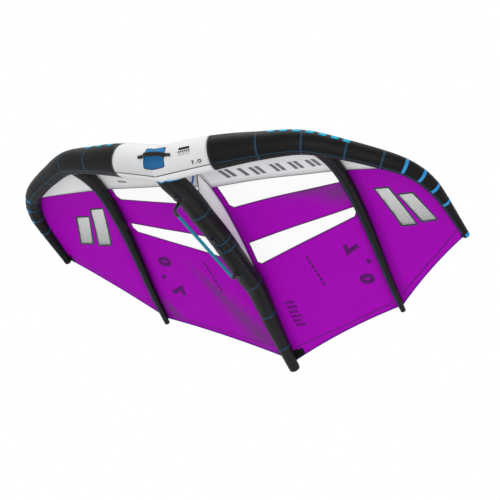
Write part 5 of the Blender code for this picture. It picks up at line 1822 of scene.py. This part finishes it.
route = hose_route(28)
hose = tube_along(route, HOSE_SIZE, 24)
hose = piece("inflation_hose_tube", hose, HOSE, stands_for=["inflation_hose"])
ribbed = lambda share: HOSE_SIZE + 0.0012 + 0.0004 * cos(share * 12 * pi)
bands = [tube_along(straight(start, end, 0.2, 0.8, 6), ribbed, 24)
         for start, end in ((route[0], route[3]), (route[-1], route[-4]))]
bands = piece("inflation_hose_bands", join(bands), PLASTIC_BLACK)
tuple(route[0])
length_of(route)
[tuple(point) for point in route]
print("hose", round(length_of(route), 3), "m")

# %% [markdown]
# ## Hard parts
# The valve, the hose's ports and clip, the anchors, the bosses and the pins are hard parts, and
# their solids are right as they are. Each gets a finer finish in place of the plain one.

# %% Finishes on the solids that stay
REFINISHED = (
    (PLASTIC_BLACK, ("valve_base", "hose_port_nose", "hose_port_strut", "harness_anchor_front",
                     "harness_anchor_rear", "mount_boss_1", "mount_boss_2", "mount_boss_3", "mount_boss_4",
                     "handle_anchor_left", "handle_anchor_right")),
    (PLASTIC_BLUE, ("hose_clip_frame", "hose_clip_bar", "valve_cap")),
    (STEEL, ("valve_cap_pin",)),
)
for material, names in REFINISHED:
    for name in names:
        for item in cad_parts[name].material_slots:
            item.material = material
print("solids refinished:", sum(len(names) for _, names in REFINISHED))

# %% [markdown]
# ## Prints on the canopy
# The canopy is printed from above and the ink shows through from below. The size number stands
# beside each side strut. The big marks and the words of a real wing are somebody's own, so plain
# bars of the same colour and scale stand in their places. Each print is a flat shape with small
# squares cut into it, laid on the cloth.

# %% Flat shapes for prints
def bar(width, length, slant=0.0, rounding=0.0):
    """A flat upright bar, leaning over by slant at its top, with rounded corners."""
    form = bmesh.new()
    bmesh.ops.create_grid(form, x_segments=1, y_segments=1, size=0.5)
    bmesh.ops.scale(form, vec=(width, length, 1), verts=form.verts)
    for vert in form.verts:
        vert.co.x += slant * vert.co.y / length
    if rounding:
        bmesh.ops.bevel(form, geom=form.verts[:], offset=rounding, segments=4, profile=0.5, affect="VERTICES",
                        material=-1)
    return form


def figure(text, size, weight):
    """A figure from the plain built-in font, made a mesh at once."""
    curve = bpy.data.curves.new("figure", "FONT")
    curve.body, curve.size, curve.offset = text, size, weight
    curve.align_x = curve.align_y = "CENTER"
    item = bpy.data.objects.new("figure", curve)
    bpy.context.scene.collection.objects.link(item)
    mesh = bpy.data.meshes.new_from_object(item.evaluated_get(bpy.context.evaluated_depsgraph_get()))
    form = bmesh.new()
    form.from_mesh(mesh)
    bpy.data.objects.remove(item)
    bpy.data.curves.remove(curve)
    bpy.data.meshes.remove(mesh)
    bmesh.ops.remove_doubles(form, verts=form.verts, dist=1e-6)
    return form


def placed(form, x, y, turn=0.0):
    seat = Matrix.Translation((x, y, 0)) @ Matrix.Rotation(radians(turn), 4, "Z")
    bmesh.ops.transform(form, matrix=seat, verts=form.verts)
    return form


def print_on_canopy(name, forms, material, wall=SEAM_WALL, size=0.02):
    whole = lay(cut_up(join(forms), size))
    bmesh.ops.triangulate(whole, faces=[face for face in whole.faces if len(face.verts) > 4])
    return piece(name, whole, material, wall=wall)


print("prints go", SEAM_WALL, "m through the cloth")


# %% Size numbers, grey bars and rows of dashes
SIZE_MARKS = {1: (("7", 0.928, 1.114), (".", 0.985, 1.244), ("0", 0.962, 1.394)),
              -1: (("0", -0.918, 1.12), (".", -0.949, 1.266), ("7", -0.902, 1.395))}
for side, label in SIDES:
    forms = [placed(figure(text, 0.16, 0.011), x, y, 90 * side) for text, x, y in SIZE_MARKS[side]]
    print_on_canopy("size_number_" + label, forms, DARK_PURPLE)
    forms = [placed(bar(0.019, 0.03, 0.005), side * (0.5 + 0.01 * index * side), 1.14 + 0.041 * index, 8)
             for index in range(7)]
    print_on_canopy("small_dashes_" + label, forms, DARK_PURPLE)
STRIP_BARS = ((0.215, 0.18, 0.115, 2), (0.342, 0.205, 0.11, 1), (0.459, 0.221, 0.105, 2),
              (0.639, 0.227, 0.1, 2), (0.799, 0.235, 0.095, 2), (0.952, 0.243, 0.09, 2))
forms = [placed(bar(0.034, tall, 0.03, 0.003), x + (index - (count - 1) / 2) * 0.052, y)
         for x, y, tall, count in STRIP_BARS for index in range(count)]
print_on_canopy("strip_bars", forms, GREY_INK)
print_on_canopy("strip_dash", [placed(bar(0.085, 0.02, 0.0, 0.002), -0.923, 0.28, 6)], GREY_INK)
forms = [placed(bar(0.012, 0.027, 0.003), 0.15 + 0.003 * row + 0.0165 * index, 1.515 + 0.043 * row)
         for row in range(6) for index in range(5 + row % 2)]
print_on_canopy("rows_of_dashes", forms, DARK_PURPLE)
print("prints in dark purple and grey")

# %% Silver bars with a dark outline on the outer panels
SILVER_WIDTH, OUTLINE_EDGE = 0.12, 0.015
SILVER_AT = {1: (1.555, 0.775), -1: (-1.51, 0.765)}
for side, label in SIDES:
    x, y = SILVER_AT[side]
    for index, (off, tall) in enumerate(((-0.1, 0.36), (0.085, 0.27))):
        spot = (x + off * side, y + 0.03 * index)
        lean = side * 0.1
        name = "%s_%d" % (label, index + 1)
        outline = placed(bar(SILVER_WIDTH + 2 * OUTLINE_EDGE, tall + 2 * OUTLINE_EDGE, lean, 0.012), *spot)
        print_on_canopy("silver_outline_" + name, [outline], OUTLINE, 0.0022, 0.03)
        silver = placed(bar(SILVER_WIDTH, tall, lean, 0.008), *spot)
        print_on_canopy("silver_bar_" + name, [silver], SILVER, 0.0028, 0.03)
print("silver bars", SILVER_WIDTH, "m wide")

# %% [markdown]
# ## Prints on the leading edge
# These are the same kind of flat shapes, bent round the tube: bright slanted bars high on its
# front, a label of plain lines and the size on the nose, and two thin rows of stitches.

# %% Shapes laid round the tube
def on_tube(form, length, angle, side, lift=0.0014):
    """Bends a flat shape round the tube: x runs outward along it and y up round it."""
    for vert in form.verts:
        along = length + vert.co.x * side
        radius = at_measure(NOSE_PATH, NOSE_LENGTHS, max(along, 0.0))[1]
        vert.co = sleeve_point(along, angle + vert.co.y / radius, lift, side)
    return form


BRIGHT_BARS = {1: (0.945, 0.094, 7, 0.056, 37), -1: (0.56, 0.125, 3, 0.06, 35)}
for side, label in SIDES:
    first, step, count, wide, angle = BRIGHT_BARS[side]
    forms = [on_tube(cut_up(bar(wide, 0.075, 0.02, 0.004), 0.015), first + step * index, radians(angle), side)
             for index in range(count)]
    strips("bright_bars_" + label, forms, CYAN_INK, 0.0006)
LABEL_LENGTH = 0.255
LABEL_ROWS = ((6, 0.011, 0.013), (9, 0.006, 0.004), (9, 0.006, 0.004))
forms = [on_tube(cut_up(bar(0.09, 0.022, 0.0, 0.006), 0.02), LABEL_LENGTH, radians(-13), 1)]
for row, (count, wide, tall) in enumerate(LABEL_ROWS):
    for index in range(count):
        mark = placed(bar(wide, tall), -0.05 + 0.1 * (index + 0.5) / count, 0.0)
        forms.append(on_tube(mark, LABEL_LENGTH, radians(-23 - 5.5 * row), 1))
strips("nose_label", forms, BLACK_INK, wall=0.0005)
forms = [on_tube(cut_up(figure(text, 0.038, 0.002), 0.01), length, radians(-66), 1)
         for text, length in (("7", 0.31), (".", 0.334), ("O", 0.364))]
strips("nose_size_number", forms, BLACK_INK, wall=0.0005)
for side, label in SIDES:
    rows = [edge_strip(0.01, CENTRE_SEAM - 0.01, radians(angle), radians(angle), 0.003, side, 0.0009, 60)
            for angle in (44, 70)]
    rows.append(round_tape(CENTRE_SEAM - 0.016, 0.004, side, lift=0.0009))
    strips("nose_stitch_rows_" + label, rows, TAPE_PALE, 0.0005)
print("prints on the leading edge")

# %% [markdown]
# ## Floor and light
# The wing is shown as in a plain pale studio. The camera looks up from below, so the floor shows
# only to a camera above it and lets everything else through, and keeps the wing's shadow. One wide
# sun shines up from the camera's side and one comes down from above, and the pale world fills in
# the rest, so each colour is rendered about as it is written.

# %% Floor under the wing
def floor_material():
    material, tree, shader = new_material("studio_floor", 0.9)
    shader.inputs["Base Color"].default_value = (0.86, 0.86, 0.86, 1.0)
    clear = add(tree, "BsdfTransparent").outputs[0]
    camera = add(tree, "LightPath").outputs["Is Camera Ray"]
    front = math(tree, "SUBTRACT", 1.0, add(tree, "NewGeometry").outputs["Backfacing"])
    choice = add(tree, "MixShader", {0: math(tree, "MULTIPLY", camera, front), 1: clear, 2: shader.outputs[0]})
    tree.links.new(choice.outputs[0], tree.nodes["Material Output"].inputs["Surface"])
    return material


FLOOR_SIZE = 60.0
FLOOR_Z = CAD_BOX[0].z - 0.004
floor_form = bmesh.new()
bmesh.ops.create_grid(floor_form, x_segments=1, y_segments=1, size=FLOOR_SIZE / 2)
bmesh.ops.translate(floor_form, verts=floor_form.verts, vec=(0, 0, FLOOR_Z))
floor_mesh = bpy.data.meshes.new("floor")
floor_form.to_mesh(floor_mesh)
floor_form.free()
floor_mesh.materials.append(floor_material())
FLOOR = bpy.data.objects.new("floor", floor_mesh)
bpy.context.scene.collection.objects.link(FLOOR)
print("floor at", round(FLOOR_Z, 3), "m")


# %% World and two wide suns
def make_world(fill):
    """White wherever it is seen, and a share of that as light."""
    world = bpy.data.worlds.new("studio")
    world.use_nodes = True
    tree = world.node_tree
    rays = add(tree, "LightPath").outputs
    through = math(tree, "MAXIMUM", rays["Is Glossy Ray"], rays["Is Transmission Ray"])
    seen = math(tree, "MAXIMUM", rays["Is Camera Ray"], through)
    strength = math(tree, "MULTIPLY_ADD", seen, 1.0 - fill, fill)
    feed(tree, tree.nodes["Background"].inputs, {"Color": (1.0, 1.0, 1.0, 1.0), "Strength": strength})
    bpy.context.scene.world = world


def make_sun(name, toward, strength, width):
    data = bpy.data.lights.new(name, "SUN")
    data.energy = strength
    data.angle = radians(width)
    item = bpy.data.objects.new(name, data)
    item.rotation_mode = "QUATERNION"
    item.rotation_quaternion = Vector(toward).to_track_quat("-Z", "Y")
    bpy.context.scene.collection.objects.link(item)


make_world(0.55)
make_sun("sun_below", (-0.5, 0.5, 0.7), 1.35, 40)
make_sun("sun_above", (0.3, 0.4, -0.87), 1.4, 40)
bpy.context.scene.view_settings.view_transform = "Standard"
print("lights", [item.name for item in bpy.data.lights])
